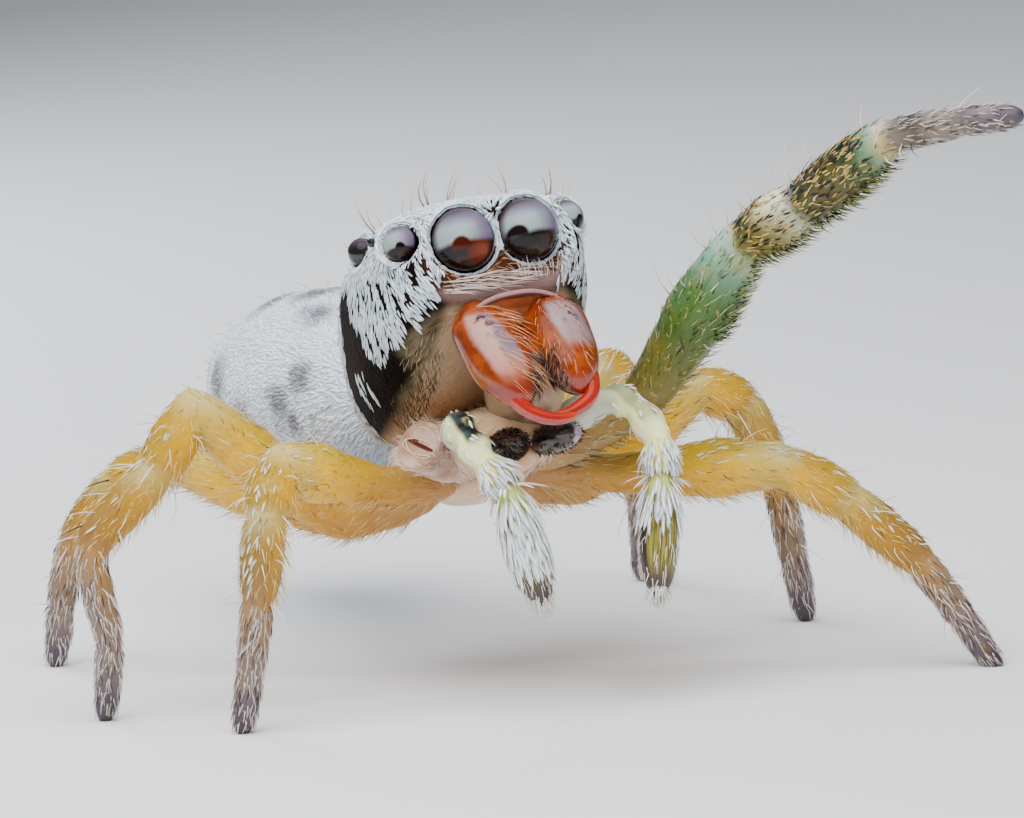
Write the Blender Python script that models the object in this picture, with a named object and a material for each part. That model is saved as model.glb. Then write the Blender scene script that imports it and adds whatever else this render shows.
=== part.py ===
"""A life-size jumping spider, set on a flat floor on six feet with its left front leg raised.

Shapes are worked out in millimetres, in the spider's own frame: it faces -Y, its left side
is +X, and the floor is z = 0. Each node is scaled to metres when it is placed.
"""

import math
import random

import bmesh
import bpy
from mathutils import Matrix, Vector

# Driving dimensions, in millimetres and degrees.
MM = 0.001
GAP = 0.04  # clear space between neighbouring pieces
BODY_PITCH = 16.0  # the head is held up
BODY_ROLL = 2.0  # the left side is a little higher
BODY_AT = Vector((0.0, -0.31, 2.14))  # middle of the carapace's lower edge
LIMB_SIDES = 12
ROUND_SIDES = 24

# Carapace sections from front to back: place along the body, half width, top, bottom.
CARAPACE = (
    (-1.37, 0.36, 1.05, 0.63),
    (-1.34, 0.52, 1.16, 0.52),
    (-1.24, 0.64, 1.23, 0.40),
    (-1.02, 0.74, 1.28, 0.18),
    (-0.70, 0.80, 1.32, -0.06),
    (-0.30, 0.83, 1.33, -0.24),
    (0.12, 0.80, 1.22, -0.32),
    (0.50, 0.70, 0.92, -0.33),
    (0.80, 0.53, 0.50, -0.29),
    (0.98, 0.30, 0.14, -0.20),
)
CARAPACE_SQUARENESS = 2.7

# Eyes of the left side: place in the body frame, radius, heading outward, tilt upward.
EYES = {
    "front_middle": (Vector((0.26, -1.25, 0.95)), 0.237, 6.0, 4.0),
    "front_side": (Vector((0.655, -1.01, 1.015)), 0.133, 28.0, 12.0),
    "small": (Vector((0.715, -0.66, 1.10)), 0.034, 75.0, 40.0),
    "rear": (Vector((0.70, -0.38, 1.07)), 0.105, 80.0, 25.0),
}
RIM_THICKNESS = 0.036

ABDOMEN_FRONT = Vector((0.0, 0.86, 1.84))
ABDOMEN_REAR = Vector((0.0, 3.86, 1.64))
ABDOMEN_HALF_WIDTH = 0.86
ABDOMEN_HALF_HEIGHT = 0.73
SPINNERET_LENGTH = 0.30
SPINNERET_RADIUS = 0.085

# The jaws: ends of their middle line, greatest half width and depth, and the swell along them.
CHELICERA_TOP = Vector((0.275, -1.28, 0.46))
CHELICERA_TIP = Vector((0.245, -1.64, -0.29))
CHELICERA_HALF_WIDTH = 0.25
CHELICERA_DEPTH = 0.24
CHELICERA_SWELL = ((0.0, 0.72), (0.2, 0.96), (0.45, 1.0), (0.7, 0.92), (0.87, 0.74), (1.0, 0.46))
# The left fang's middle line in the body frame. The right one lies a little lower and crosses it.
FANG_PATH = (
    Vector((0.31, -1.68, -0.335)),
    Vector((0.33, -1.71, -0.41)),
    Vector((0.25, -1.72, -0.48)),
    Vector((0.12, -1.71, -0.49)),
    Vector((0.01, -1.69, -0.45)),
)
FANG_RADIUS = 0.046
FANG_DROP = 0.075

STERNUM_AT = Vector((0.0, 0.02, -0.70))
STERNUM_HALF = Vector((0.30, 0.56, 0.13))
LIP_AT = Vector((0.0, -0.84, -0.63))
LIP_HALF = Vector((0.14, 0.24, 0.10))
MOUTH_PLATE_AT = Vector((0.16, -1.14, -0.57))
MOUTH_PLATE_HALF = Vector((0.12, 0.30, 0.11))
MOUTH_PLATE_TURN = 6.0

# Where each pair of legs joins the sternum, in the body frame, from the front pair back.
COXA_INNER = (
    Vector((0.36, -0.44, -0.58)),
    Vector((0.38, -0.13, -0.64)),
    Vector((0.38, 0.18, -0.68)),
    Vector((0.34, 0.50, -0.68)),
)
COXA_RADIUS = 0.165
STUMP_TIP = Vector((-0.67, -0.70, -0.40))
STUMP_RADIUS = 0.19

# Widest radius of each leg segment, for the walking legs and for the stout front leg.
WALKING_RADII = {"femur": 0.235, "patella": 0.20, "tibia": 0.185, "metatarsus": 0.150, "tarsus": 0.125}
FRONT_RADII = {"femur": 0.270, "patella": 0.225, "tibia": 0.215, "metatarsus": 0.150, "tarsus": 0.125}
FOOT_RADIUS = 0.095

# Each leg: its pair, radii, the start of its femur, then length, heading and pitch of each
# segment from the femur out. A heading is measured from straight sideways towards the front.
LEGS = {
    "left_1": (0, FRONT_RADII, Vector((1.06, -0.99, 1.93)),
               ((1.60, 49, 53), (0.68, 61, 28), (0.97, 63, 33), (0.68, 63, 12), (0.53, 57, 7))),
    "left_2": (1, WALKING_RADII, Vector((0.95, -0.72, 1.46)),
               ((1.30, 33, 2), (0.54, 38, -31), (0.70, 34, -42), (0.46, 38, -56), (0.44, 38, -57))),
    "left_3": (2, WALKING_RADII, Vector((0.92, -0.10, 1.25)),
               ((1.23, -8, 32), (0.44, -7, -24), (0.73, -18, -66), (0.61, -24, -79), (0.46, -28, -78))),
    "left_4": (3, WALKING_RADII, Vector((0.74, 0.42, 1.15)),
               ((1.45, -44, 29), (0.51, -48, -8), (0.88, -58, -47), (0.72, -66, -64), (0.54, -72, -68))),
    "right_2": (1, WALKING_RADII, Vector((-0.78, -0.65, 1.56)),
                ((1.06, 20, 18), (0.42, 50, -48), (0.63, 10, -80), (0.51, -30, -80), (0.49, -40, -79))),
    "right_3": (2, WALKING_RADII, Vector((-0.92, -0.10, 1.20)),
                ((1.46, -6, 43), (0.54, 5, -54), (0.73, -4, -41), (0.72, 120, -77), (0.60, -73, -78))),
    "right_4": (3, WALKING_RADII, Vector((-0.74, 0.42, 1.15)),
                ((1.37, -46, 19), (0.54, -50, -19), (0.66, -56, -46), (0.51, -50, -74), (0.46, -48, -81))),
}
RAISED_LEG = "left_1"

# Radius along one segment, as shares of its length and of its widest radius.
SEGMENT_SHAPES = {
    "coxa": ((0.0, 0.80), (0.35, 1.0), (0.75, 1.05)),
    "femur": ((0.0, 0.66), (0.07, 0.76), (0.25, 0.94), (0.50, 1.0), (0.75, 0.97), (0.92, 0.84), (1.0, 0.74)),
    "patella": ((0.0, 0.76), (0.30, 0.98), (0.65, 1.0), (0.90, 0.90)),
    "tibia": ((0.0, 0.84), (0.20, 0.95), (0.50, 1.0), (0.80, 0.92), (1.0, 0.80)),
    "metatarsus": ((0.0, 0.92), (0.20, 1.0), (0.60, 0.98), (0.90, 0.92)),
    "tarsus": ((0.0, 0.98), (0.35, 1.0), (0.75, 0.90)),
}

# The palps' joints from the mouth out: the last two are the wrist and the tip.
PALP_STEM_RADIUS = 0.13
PALP_TARSUS_RADIUS = 0.20
PALP_BULGE = ((0.0, 0.84), (0.45, 1.0))
PALP_BRUSH = ((0.0, 0.55), (0.08, 0.75), (0.25, 0.96), (0.50, 1.0), (0.75, 0.80), (0.92, 0.48), (1.0, 0.22))
PALPS = {
    "left": (Vector((0.46, -1.36, 2.02)), Vector((0.68, -1.42, 2.13)), Vector((0.85, -1.54, 2.07)),
             Vector((0.94, -1.70, 1.86)), Vector((0.91, -1.80, 1.62)), Vector((0.76, -2.00, 0.75))),
    "right": (Vector((-0.42, -1.36, 1.98)), Vector((-0.50, -1.45, 2.09)), Vector((-0.47, -1.57, 2.02)),
              Vector((-0.40, -1.69, 1.86)), Vector((-0.28, -1.80, 1.68)), Vector((-0.13, -2.04, 0.79))),
}

# Spines and hair locks. A root is sunk this deep, and a lie of 0 stands straight out.
ROOT_DEPTH = 0.055
SPINE_RADIUS = 0.027
BRISTLE_RADIUS = 0.020
LOCK_HALF_WIDTH = 0.048
LOCK_HALF_DEPTH = 0.017

# The spines of each leg segment: share of its length, degrees round it from its top, length.
LEG_SPINES = {
    "femur": ((0.34, 4, 0.30), (0.58, -6, 0.36), (0.80, 5, 0.38), (0.86, 62, 0.28), (0.84, -64, 0.28)),
    "patella": ((0.55, 82, 0.24), (0.50, -82, 0.24)),
    "tibia": ((0.25, 75, 0.30), (0.30, -75, 0.30), (0.36, 148, 0.34), (0.40, -148, 0.34),
              (0.66, 80, 0.30), (0.70, -78, 0.30), (0.74, 155, 0.30)),
    "metatarsus": ((0.24, 150, 0.30), (0.28, -150, 0.30), (0.80, 95, 0.24), (0.82, -95, 0.24)),
}
# The fringe under the raised front leg: segment, number of locks, length.
FRINGE = (("femur", 6, 0.26), ("patella", 3, 0.24), ("tibia", 5, 0.26))

# Bristles standing on the head: place in the body frame on the left side, lean back, length.
HEAD_BRISTLES = (
    (Vector((0.10, -1.22, 1.24)), 0.30, 0.26),
    (Vector((0.30, -1.10, 1.27)), 0.45, 0.30),
    (Vector((0.50, -1.04, 1.27)), 0.35, 0.26),
    (Vector((0.60, -0.86, 1.27)), 0.50, 0.22),
    (Vector((0.22, -0.78, 1.31)), 0.55, 0.26),
    (Vector((0.50, -0.52, 1.31)), 0.60, 0.24),
    (Vector((0.24, -0.34, 1.32)), 0.65, 0.24),
)
# The fringe that hangs from the lower edge of the face.
FACE_LOCKS = 9
FACE_LOCK_HALF_SPAN = 0.42
FACE_LOCK_LENGTH = 0.22
FACE_LOCK_LIFT = 0.66

PALP_LOCK_ROWS = ((0.10, 4, 0.30), (0.34, 5, 0.34), (0.60, 4, 0.32))

# Colour, roughness and metallic value of each finish.
FINISHES = {
    "white_scales": ((0.82, 0.84, 0.87), 0.55, 0.0),
    "abdomen_white": ((0.74, 0.78, 0.84), 0.60, 0.0),
    "eye_black": ((0.035, 0.02, 0.02), 0.08, 0.0),
    "amber": ((0.72, 0.20, 0.05), 0.22, 0.0),
    "fang_red": ((0.55, 0.05, 0.02), 0.20, 0.0),
    "dark_mouth": ((0.05, 0.035, 0.03), 0.35, 0.0),
    "pale_underside": ((0.72, 0.52, 0.38), 0.40, 0.0),
    "green_leg": ((0.22, 0.33, 0.20), 0.38, 0.0),
    "yellow_leg": ((0.80, 0.62, 0.22), 0.38, 0.0),
    "grey_leg": ((0.55, 0.50, 0.48), 0.50, 0.0),
    "palp_yellow": ((0.85, 0.82, 0.55), 0.40, 0.0),
    "palp_white": ((0.70, 0.72, 0.62), 0.60, 0.0),
}


def clear_scene():
    for old in list(bpy.data.objects):
        bpy.data.objects.remove(old, do_unlink=True)


def body_matrix():
    pitch = Matrix.Rotation(math.radians(-BODY_PITCH), 4, "X")
    roll = Matrix.Rotation(math.radians(-BODY_ROLL), 4, "Y")
    return Matrix.Translation(BODY_AT) @ roll @ pitch


BODY = body_matrix()


def mirrored(point):
    return Vector((-point.x, point.y, point.z))


def smooth_row(rows, at):
    """The row at a place along a table, on a Catmull-Rom curve through its rows."""
    first = min(int(at), len(rows) - 2)
    t = at - first
    near = [rows[max(0, min(len(rows) - 1, first + k))] for k in (-1, 0, 1, 2)]
    return [
        0.5 * (2 * b + (c - a) * t + (2 * a - 5 * b + 4 * c - d) * t * t + (3 * b - 3 * c + d - a) * t ** 3)
        for a, b, c, d in zip(*near)
    ]


def radius_share(shape, share):
    """The radius at a share of a limb's length, as a share of its widest radius."""
    for (before, low), (after, high) in zip(shape, shape[1:]):
        if share <= after:
            return low + (high - low) * (share - before) / (after - before)
    return shape[-1][1]


def loft(rings, tip=None):
    """A closed bmesh through rings of equal length. It ends in a flat face, or runs to a tip."""
    shape = bmesh.new()
    rows = [[shape.verts.new(point) for point in ring] for ring in rings]
    sides = len(rings[0])
    for near, far in zip(rows, rows[1:]):
        for k in range(sides):
            after = (k + 1) % sides
            shape.faces.new((near[k], near[after], far[after], far[k]))
    shape.faces.new(list(reversed(rows[0])))
    if tip is None:
        shape.faces.new(rows[-1])
    else:
        point = shape.verts.new(tip)
        for k in range(sides):
            shape.faces.new((rows[-1][k], rows[-1][(k + 1) % sides], point))
    bmesh.ops.recalc_face_normals(shape, faces=shape.faces)
    return shape


def as_object(name, shape):
    mesh = bpy.data.meshes.new(name)
    shape.to_mesh(mesh)
    shape.free()
    made = bpy.data.objects.new(name, mesh)
    bpy.context.scene.collection.objects.link(made)
    return made


def keep_largest(mesh):
    """Leaves only the mesh's largest closed surface."""
    shape = bmesh.new()
    shape.from_mesh(mesh)
    left = set(shape.verts)
    islands = []
    while left:
        found = {left.pop()}
        front = list(found)
        while front:
            for edge in front.pop().link_edges:
                for vert in edge.verts:
                    if vert not in found:
                        found.add(vert)
                        front.append(vert)
        left -= found
        islands.append(found)
    biggest = max(islands, key=len)
    bmesh.ops.delete(shape, geom=[v for v in shape.verts if v not in biggest], context="VERTS")
    shape.to_mesh(mesh)
    shape.free()


def apply_boolean(base, others, operation):
    """One Boolean on a collection of closed meshes, applied to the base."""
    group = bpy.data.collections.new("pieces")
    bpy.context.scene.collection.children.link(group)
    for other in others:
        bpy.context.scene.collection.objects.unlink(other)
        group.objects.link(other)
    cut = base.modifiers.new("pieces", "BOOLEAN")
    cut.operation = operation
    cut.operand_type = "COLLECTION"
    cut.collection = group
    cut.solver = "EXACT"
    graph = bpy.context.evaluated_depsgraph_get()
    result = bpy.data.meshes.new_from_object(base.evaluated_get(graph))
    base.modifiers.clear()
    base.data = result
    for other in list(group.objects):
        bpy.data.objects.remove(other, do_unlink=True)
    bpy.data.collections.remove(group)
    keep_largest(base.data)
    return base


def finish_node(made, finish, origin):
    """Gives a node its material and scales it to metres about its own reference point."""
    colour, roughness, metallic = FINISHES[finish]
    material = bpy.data.materials.new(made.name)
    material.use_nodes = True
    shader = material.node_tree.nodes["Principled BSDF"]
    shader.inputs["Base Color"].default_value = (*colour, 1.0)
    shader.inputs["Roughness"].default_value = roughness
    shader.inputs["Metallic"].default_value = metallic
    made.data.materials.clear()
    made.data.materials.append(material)
    made.data.transform(Matrix.Scale(MM, 4) @ Matrix.Translation(-origin))
    made.data.shade_smooth()
    made.data.set_sharp_from_angle(angle=math.radians(40))
    made.location = origin * MM
    return made


def spine(root, outward, lie, lean, length, radius):
    """A slender three-sided spine that leaves the surface outward and bends over to its lie."""
    first = (outward * (1.0 - 0.5 * lean) + lie * lean).normalized()
    second = (outward * (1.0 - 0.9 * lean) + lie * lean).normalized()
    middle = root + first * length * 0.5
    side = first.cross(outward if abs(first.dot(outward)) < 0.99 else first.orthogonal()).normalized()
    rings = []
    for centre, size in ((root - first * ROOT_DEPTH, radius), (middle, radius * 0.62)):
        across = perpendicular(side, first)
        up = first.cross(across)
        rings.append([
            centre + (across * math.cos(2 * math.pi * k / 3) + up * math.sin(2 * math.pi * k / 3)) * size
            for k in range(3)
        ])
    return as_object("spine", loft(rings, middle + second * length * 0.5))


def lock(root, outward, lie, lift, length):
    """A flat tapered lock of hair. It rises from its sunk root and bends along its lie."""
    side = lie.cross(outward).normalized()
    path = (
        root - outward * ROOT_DEPTH - lie * 0.3 * ROOT_DEPTH,
        root + outward * lift * 0.45 * length + lie * 0.28 * length,
        root + outward * lift * 0.72 * length + lie * 0.66 * length,
    )
    tip = root + outward * lift * 0.80 * length + lie * length
    rings = []
    for centre, size in zip(path, (0.85, 1.0, 0.62)):
        rings.append([
            centre + side * LOCK_HALF_WIDTH * size * across + outward * LOCK_HALF_DEPTH * size * up
            for across, up in ((1, 0), (0, 1), (-1, 0), (0, -1))
        ])
    return as_object("lock", loft(rings, tip))


def ball(centre, radius, segments=20):
    shape = bmesh.new()
    bmesh.ops.create_uvsphere(shape, u_segments=segments, v_segments=segments // 2, radius=radius)
    bmesh.ops.translate(shape, verts=shape.verts, vec=centre)
    return shape


def carapace_loft(grow=0.0):
    """The head and thorax shell in the body frame, grown outwards by a clearance."""
    rings = []
    steps = 2 * (len(CARAPACE) - 1)
    for step in range(steps + 1):
        y, half_width, top, bottom = smooth_row(CARAPACE, step * (len(CARAPACE) - 1) / steps)
        y += grow * (2.0 * step / steps - 1.0)
        centre = (top + bottom) / 2
        half_height = (top - bottom) / 2 + grow
        ring = []
        for k in range(ROUND_SIDES):
            angle = 2 * math.pi * k / ROUND_SIDES
            across, up = math.cos(angle), math.sin(angle)
            power = 2 / CARAPACE_SQUARENESS
            ring.append(Vector((
                math.copysign(abs(across) ** power, across) * (half_width + grow),
                y,
                centre + math.copysign(abs(up) ** power, up) * half_height,
            )))
        rings.append(ring)
    shape = loft(rings)
    bmesh.ops.transform(shape, matrix=BODY, verts=shape.verts)
    return shape


def eye_direction(heading, tilt):
    heading, tilt = math.radians(heading), math.radians(tilt)
    return Vector((math.sin(heading) * math.cos(tilt), -math.cos(heading) * math.cos(tilt), math.sin(tilt)))


def eye_rim(centre, radius, direction):
    """A raised ring round an eye, set a little in front of the eye's middle."""
    rings = []
    round_steps, tube_steps = 18, 5
    across = direction.orthogonal().normalized()
    along = direction.cross(across)
    middle = centre + direction * radius * 0.30
    major = radius * 0.97 + RIM_THICKNESS * 0.7
    for j in range(round_steps):
        angle = 2 * math.pi * j / round_steps
        out = across * math.cos(angle) + along * math.sin(angle)
        rings.append([
            middle + out * (major + RIM_THICKNESS * math.cos(2 * math.pi * k / tube_steps))
            + direction * RIM_THICKNESS * math.sin(2 * math.pi * k / tube_steps)
            for k in range(tube_steps)
        ])
    shape = bmesh.new()
    rows = [[shape.verts.new(point) for point in ring] for ring in rings]
    for j in range(round_steps):
        near, far = rows[j], rows[(j + 1) % round_steps]
        for k in range(tube_steps):
            after = (k + 1) % tube_steps
            shape.faces.new((near[k], near[after], far[after], far[k]))
    bmesh.ops.recalc_face_normals(shape, faces=shape.faces)
    bmesh.ops.transform(shape, matrix=BODY, verts=shape.verts)
    return shape


def head_hair():
    """The bristles on top of the head, and the fringe along the lower edge of the face."""
    turn = BODY.to_3x3()
    draw = random.Random(11)
    made = []
    for place, lean, length in HEAD_BRISTLES:
        for sign in (1, -1):
            root = Vector((sign * place.x, place.y + draw.uniform(-0.03, 0.03), place.z))
            outward = Vector((sign * 0.35 * place.x, -0.15, 1.0)).normalized()
            lie = Vector((sign * 0.3, -1.0 if place.y < -1.0 else 1.0, 0.0)).normalized()
            length_here = length * draw.uniform(0.85, 1.15)
            made.append(spine(BODY @ root, turn @ outward, turn @ lie, lean, length_here, BRISTLE_RADIUS))
    for k in range(FACE_LOCKS):
        share = 2 * k / (FACE_LOCKS - 1) - 1
        root = Vector((share * FACE_LOCK_HALF_SPAN, -1.35 + 0.08 * share ** 2, 0.64 - 0.04 * share ** 2))
        outward = Vector((share * 0.4, -1.0, 0.0)).normalized()
        lie = Vector((share * 0.35 + draw.uniform(-0.15, 0.15), -0.25, -1.0)).normalized()
        length = FACE_LOCK_LENGTH * draw.uniform(0.85, 1.1)
        made.append(lock(BODY @ root, turn @ outward, turn @ lie, FACE_LOCK_LIFT, length))
    return made


def make_head():
    """The carapace with its eight sockets, and the eight eyes in them."""
    carapace = as_object("carapace", carapace_loft())
    rims, sockets = head_hair(), []
    for name, (place, radius, heading, tilt) in EYES.items():
        for side, sign in (("left", 1), ("right", -1)):
            centre = Vector((sign * place.x, place.y, place.z))
            direction = eye_direction(sign * heading, tilt)
            segments = 20 if name == "front_middle" else 14
            if name != "small":
                rims.append(as_object("rim", eye_rim(centre, radius, direction)))
            centre = BODY @ centre
            sockets.append(as_object("socket", ball(centre, radius + GAP, segments)))
            eye = as_object(f"eye_{name}_{side}", ball(centre, radius, segments))
            finish_node(eye, "eye_black", centre)
    apply_boolean(carapace, rims, "UNION")
    apply_boolean(carapace, sockets, "DIFFERENCE")
    return finish_node(carapace, "white_scales", BODY_AT)


def perpendicular(vector, direction):
    return (vector - direction * vector.dot(direction)).normalized()


def limb_ring(centre, direction, plane, side, radius):
    """One ring of a limb. It is round across the direction and lies in the given plane."""
    across = perpendicular(side, direction)
    up = direction.cross(across)
    ring = []
    for k in range(LIMB_SIDES):
        angle = 2 * math.pi * k / LIMB_SIDES
        offset = (across * math.cos(angle) + up * math.sin(angle)) * radius
        ring.append(centre + offset - direction * offset.dot(plane) / direction.dot(plane))
    return ring


def segment_rings(start, end, plane_in, plane_out, side, radius, shape):
    """Rings along one straight segment, turning into the joint planes at both ends."""
    direction = (end - start).normalized()
    length = (end - start).length
    reach = min(0.45 * length, 1.6 * radius)
    rings = []
    for share, factor in shape:
        to_start = max(0.0, 1.0 - share * length / reach)
        to_end = max(0.0, 1.0 - (1.0 - share) * length / reach)
        plane = plane_in * to_start + plane_out * to_end + direction * (1.0 - to_start - to_end)
        centre = start.lerp(end, share)
        rings.append(limb_ring(centre, direction, plane.normalized(), side, radius * factor))
    return rings


def joint_plane(before, at, after):
    return ((at - before).normalized() + (after - at).normalized()).normalized()


def pulled_back(point, neighbour, plane):
    """A joint's point moved towards its neighbour so that half the gap is left at the joint's plane."""
    direction = (neighbour - point).normalized()
    return point + direction * (GAP / 2) / abs(direction.dot(plane))


def leg_points(name):
    """The leg's joints from the sternum to the foot. A standing leg's last one is on the floor."""
    pair, radii, root, segments = LEGS[name]
    sign = 1 if name.startswith("left") else -1
    inner = BODY @ Vector((sign * COXA_INNER[pair].x, COXA_INNER[pair].y, COXA_INNER[pair].z))
    points = [inner, root]
    for length, heading, pitch in segments:
        heading, pitch = math.radians(heading), math.radians(pitch)
        step = Vector((sign * math.cos(heading), -math.sin(heading), 0.0)) * math.cos(pitch)
        step.z = math.sin(pitch)
        points.append(points[-1] + step * length)
    if name != RAISED_LEG:
        last = points[-1] - points[-2]
        points[-1] = points[-2] + last * (points[-2].z / -last.z)
    return points


def limb_surface(start, end, side, radius, shape, share, degrees):
    """The point, outward way and way along at a place on a limb, counted from its top."""
    direction = (end - start).normalized()
    across = perpendicular(side, direction)
    top = across.cross(direction)
    if top.z < 0:
        top = -top
    angle = math.radians(degrees)
    outward = top * math.cos(angle) + across * math.sin(angle)
    return start.lerp(end, share) + outward * radius * radius_share(shape, share) * 0.95, outward, direction


def leg_hair(name, segment, start, end, side, draw):
    """The spines of one leg segment and, under the raised leg, its fringe."""
    radius = LEGS[name][1][segment]
    shape = SEGMENT_SHAPES[segment]
    made = []
    for share, degrees, length in LEG_SPINES.get(segment, ()):
        share += draw.uniform(-0.03, 0.03)
        degrees += draw.uniform(-8, 8)
        root, outward, along = limb_surface(start, end, side, radius, shape, share, degrees)
        made.append(spine(root, outward, along, 0.55, length * draw.uniform(0.9, 1.1), SPINE_RADIUS))
    for fringed, count, length in FRINGE:
        if name != RAISED_LEG or segment != fringed:
            continue
        for k in range(count):
            share = 0.14 + 0.70 * k / (count - 1)
            degrees = 180 + (18 if k % 2 else -18)
            root, outward, along = limb_surface(start, end, side, radius, shape, share, degrees)
            lie = (along + outward * 0.6).normalized()
            made.append(lock(root, outward, lie, 0.55, length * draw.uniform(0.85, 1.15)))
    return made


def make_leg(name):
    radii, segments = LEGS[name][1], LEGS[name][3]
    points = leg_points(name)
    heading = math.radians(segments[0][1])
    sign = 1 if name.startswith("left") else -1
    side = Vector((math.sin(heading) * sign, math.cos(heading), 0.0))
    planes = [(points[1] - points[0]).normalized()]
    planes += [joint_plane(*points[k - 1:k + 2]) for k in range(1, len(points) - 1)]
    planes.append((points[-1] - points[-2]).normalized() if name == RAISED_LEG else Vector((0, 0, -1)))
    inner, root, knee, shin, ankle, heel, toe = points

    def rings_of(segment, begin, finish, first):
        radius = COXA_RADIUS if segment == "coxa" else radii[segment]
        near, far = planes[first:first + 2]
        return segment_rings(begin, finish, near, far, side, radius, SEGMENT_SHAPES[segment])

    femur = rings_of("coxa", inner, root, 0)
    femur += rings_of("femur", root, pulled_back(knee, root, planes[2]), 1)
    shank = rings_of("patella", pulled_back(knee, shin, planes[2]), shin, 2)
    shank += rings_of("tibia", shin, pulled_back(ankle, shin, planes[4]), 3)
    foot = rings_of("metatarsus", pulled_back(ankle, heel, planes[4]), heel, 4)
    foot += rings_of("tarsus", heel, toe, 5)
    foot.append(limb_ring(toe, (toe - heel).normalized(), planes[6], side, FOOT_RADIUS))

    draw = random.Random(name)
    femur_hair = leg_hair(name, "femur", root, knee, side, draw)
    shank_hair = leg_hair(name, "patella", knee, shin, side, draw)
    shank_hair += leg_hair(name, "tibia", shin, ankle, side, draw)
    foot_hair = leg_hair(name, "metatarsus", ankle, heel, side, draw)
    upper_finish = "green_leg" if name == RAISED_LEG else "yellow_leg"
    for part, rings, hair, origin, finish in (
        ("femur", femur, femur_hair, root, upper_finish),
        ("shin", shank, shank_hair, knee, upper_finish),
        ("foot", foot, foot_hair, ankle, "grey_leg"),
    ):
        limb = apply_boolean(as_object(f"leg_{name}_{part}", loft(rings)), hair, "UNION")
        finish_node(limb, finish, origin)


def make_stump():
    """The base that is left of the right front leg."""
    inner = BODY @ mirrored(COXA_INNER[0])
    tip = BODY @ STUMP_TIP
    direction = (tip - inner).normalized()
    side = perpendicular(Vector((0, 1, 0)), direction)
    shape = ((0.0, 0.68), (0.30, 0.85), (0.70, 1.0), (0.93, 0.98), (1.0, 0.84))
    rings = segment_rings(inner, tip, direction, direction, side, STUMP_RADIUS, shape)
    finish_node(as_object("leg_right_1_stump", loft(rings)), "pale_underside", tip)


def palp_locks(start, end, side, side_name):
    """Tiers of pale locks that point down the palp's brush and stand off it a little."""
    draw = random.Random(side_name)
    made = []
    for row, (share, count, length) in enumerate(PALP_LOCK_ROWS):
        for k in range(count):
            degrees = 360 * (k + 0.5 * (row % 2)) / count + draw.uniform(-10, 10)
            place = share + draw.uniform(-0.03, 0.03)
            root, outward, along = limb_surface(
                start, end, side, PALP_TARSUS_RADIUS, PALP_BRUSH, place, degrees
            )
            made.append(lock(root, outward, along, 0.32, length * draw.uniform(0.9, 1.1)))
    return made


def make_palps():
    for side_name, points in PALPS.items():
        side = Vector((1, 0, 0))
        planes = [(points[1] - points[0]).normalized()]
        planes += [joint_plane(*points[k - 1:k + 2]) for k in range(1, len(points) - 1)]
        planes.append((points[-1] - points[-2]).normalized())
        wrist, tip = points[-2:]
        wrist_end = pulled_back(wrist, points[-3], planes[-2])
        stem = []
        stops = (*points[:-2], wrist_end)
        for k in range(len(stops) - 1):
            near, far = planes[k:k + 2]
            stem += segment_rings(stops[k], stops[k + 1], near, far, side, PALP_STEM_RADIUS, PALP_BULGE)
        last = (stops[-1] - stops[-2]).normalized()
        stem.append(limb_ring(wrist_end, last, planes[-2], side, PALP_STEM_RADIUS * 0.8))
        finish_node(as_object(f"palp_{side_name}_stem", loft(stem)), "palp_yellow", points[0])
        wrist_start = pulled_back(wrist, tip, planes[-2])
        rings = segment_rings(wrist_start, tip, planes[-2], planes[-1], side, PALP_TARSUS_RADIUS, PALP_BRUSH)
        tarsus = as_object(f"palp_{side_name}_tarsus", loft(rings))
        apply_boolean(tarsus, palp_locks(wrist_start, tip, side, side_name), "UNION")
        finish_node(tarsus, "palp_white", wrist)


def make_chelicerae():
    """The pair of stout jaws below the face, each with a fang folded in at its tip."""
    for side_name, sign in (("left", 1), ("right", -1)):
        rings = []
        steps = 12
        for step in range(steps + 1):
            t = step / steps
            swell = radius_share(CHELICERA_SWELL, t)
            middle = CHELICERA_TOP.lerp(CHELICERA_TIP, t)
            ring = []
            for k in range(16):
                angle = 2 * math.pi * k / 16
                ring.append(BODY @ Vector((
                    sign * (middle.x + CHELICERA_HALF_WIDTH * swell * math.cos(angle)),
                    middle.y + CHELICERA_DEPTH * swell * math.sin(angle),
                    middle.z,
                )))
            rings.append(ring)
        jaw = as_object(f"chelicera_{side_name}", loft(rings))
        apply_boolean(jaw, [as_object("clearance", carapace_loft(GAP))], "DIFFERENCE")
        finish_node(jaw, "amber", BODY @ Vector((sign * CHELICERA_TOP.x, CHELICERA_TOP.y, CHELICERA_TOP.z)))

        drop = Vector((0.0, 0.0, 0.0 if sign > 0 else -FANG_DROP))
        fang_rings = []
        for step in range(9):
            t = step / 8
            at = t * (len(FANG_PATH) - 1)
            place = Vector(smooth_row(FANG_PATH, at))
            ahead = Vector(smooth_row(FANG_PATH, min(at + 0.05, len(FANG_PATH) - 1)))
            behind = Vector(smooth_row(FANG_PATH, max(at - 0.05, 0.0)))
            along = (ahead - behind).normalized()
            place, along = place + drop * t, along.copy()
            place.x, along.x = sign * place.x, sign * along.x
            radius = FANG_RADIUS * (1.0 - 0.72 * t)
            fang_rings.append([
                BODY @ point for point in limb_ring(place, along, along, Vector((0, 1, 0)), radius)
            ])
        root = BODY @ Vector((sign * FANG_PATH[0].x, FANG_PATH[0].y, FANG_PATH[0].z))
        finish_node(as_object(f"fang_{side_name}", loft(fang_rings)), "fang_red", root)


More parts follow.
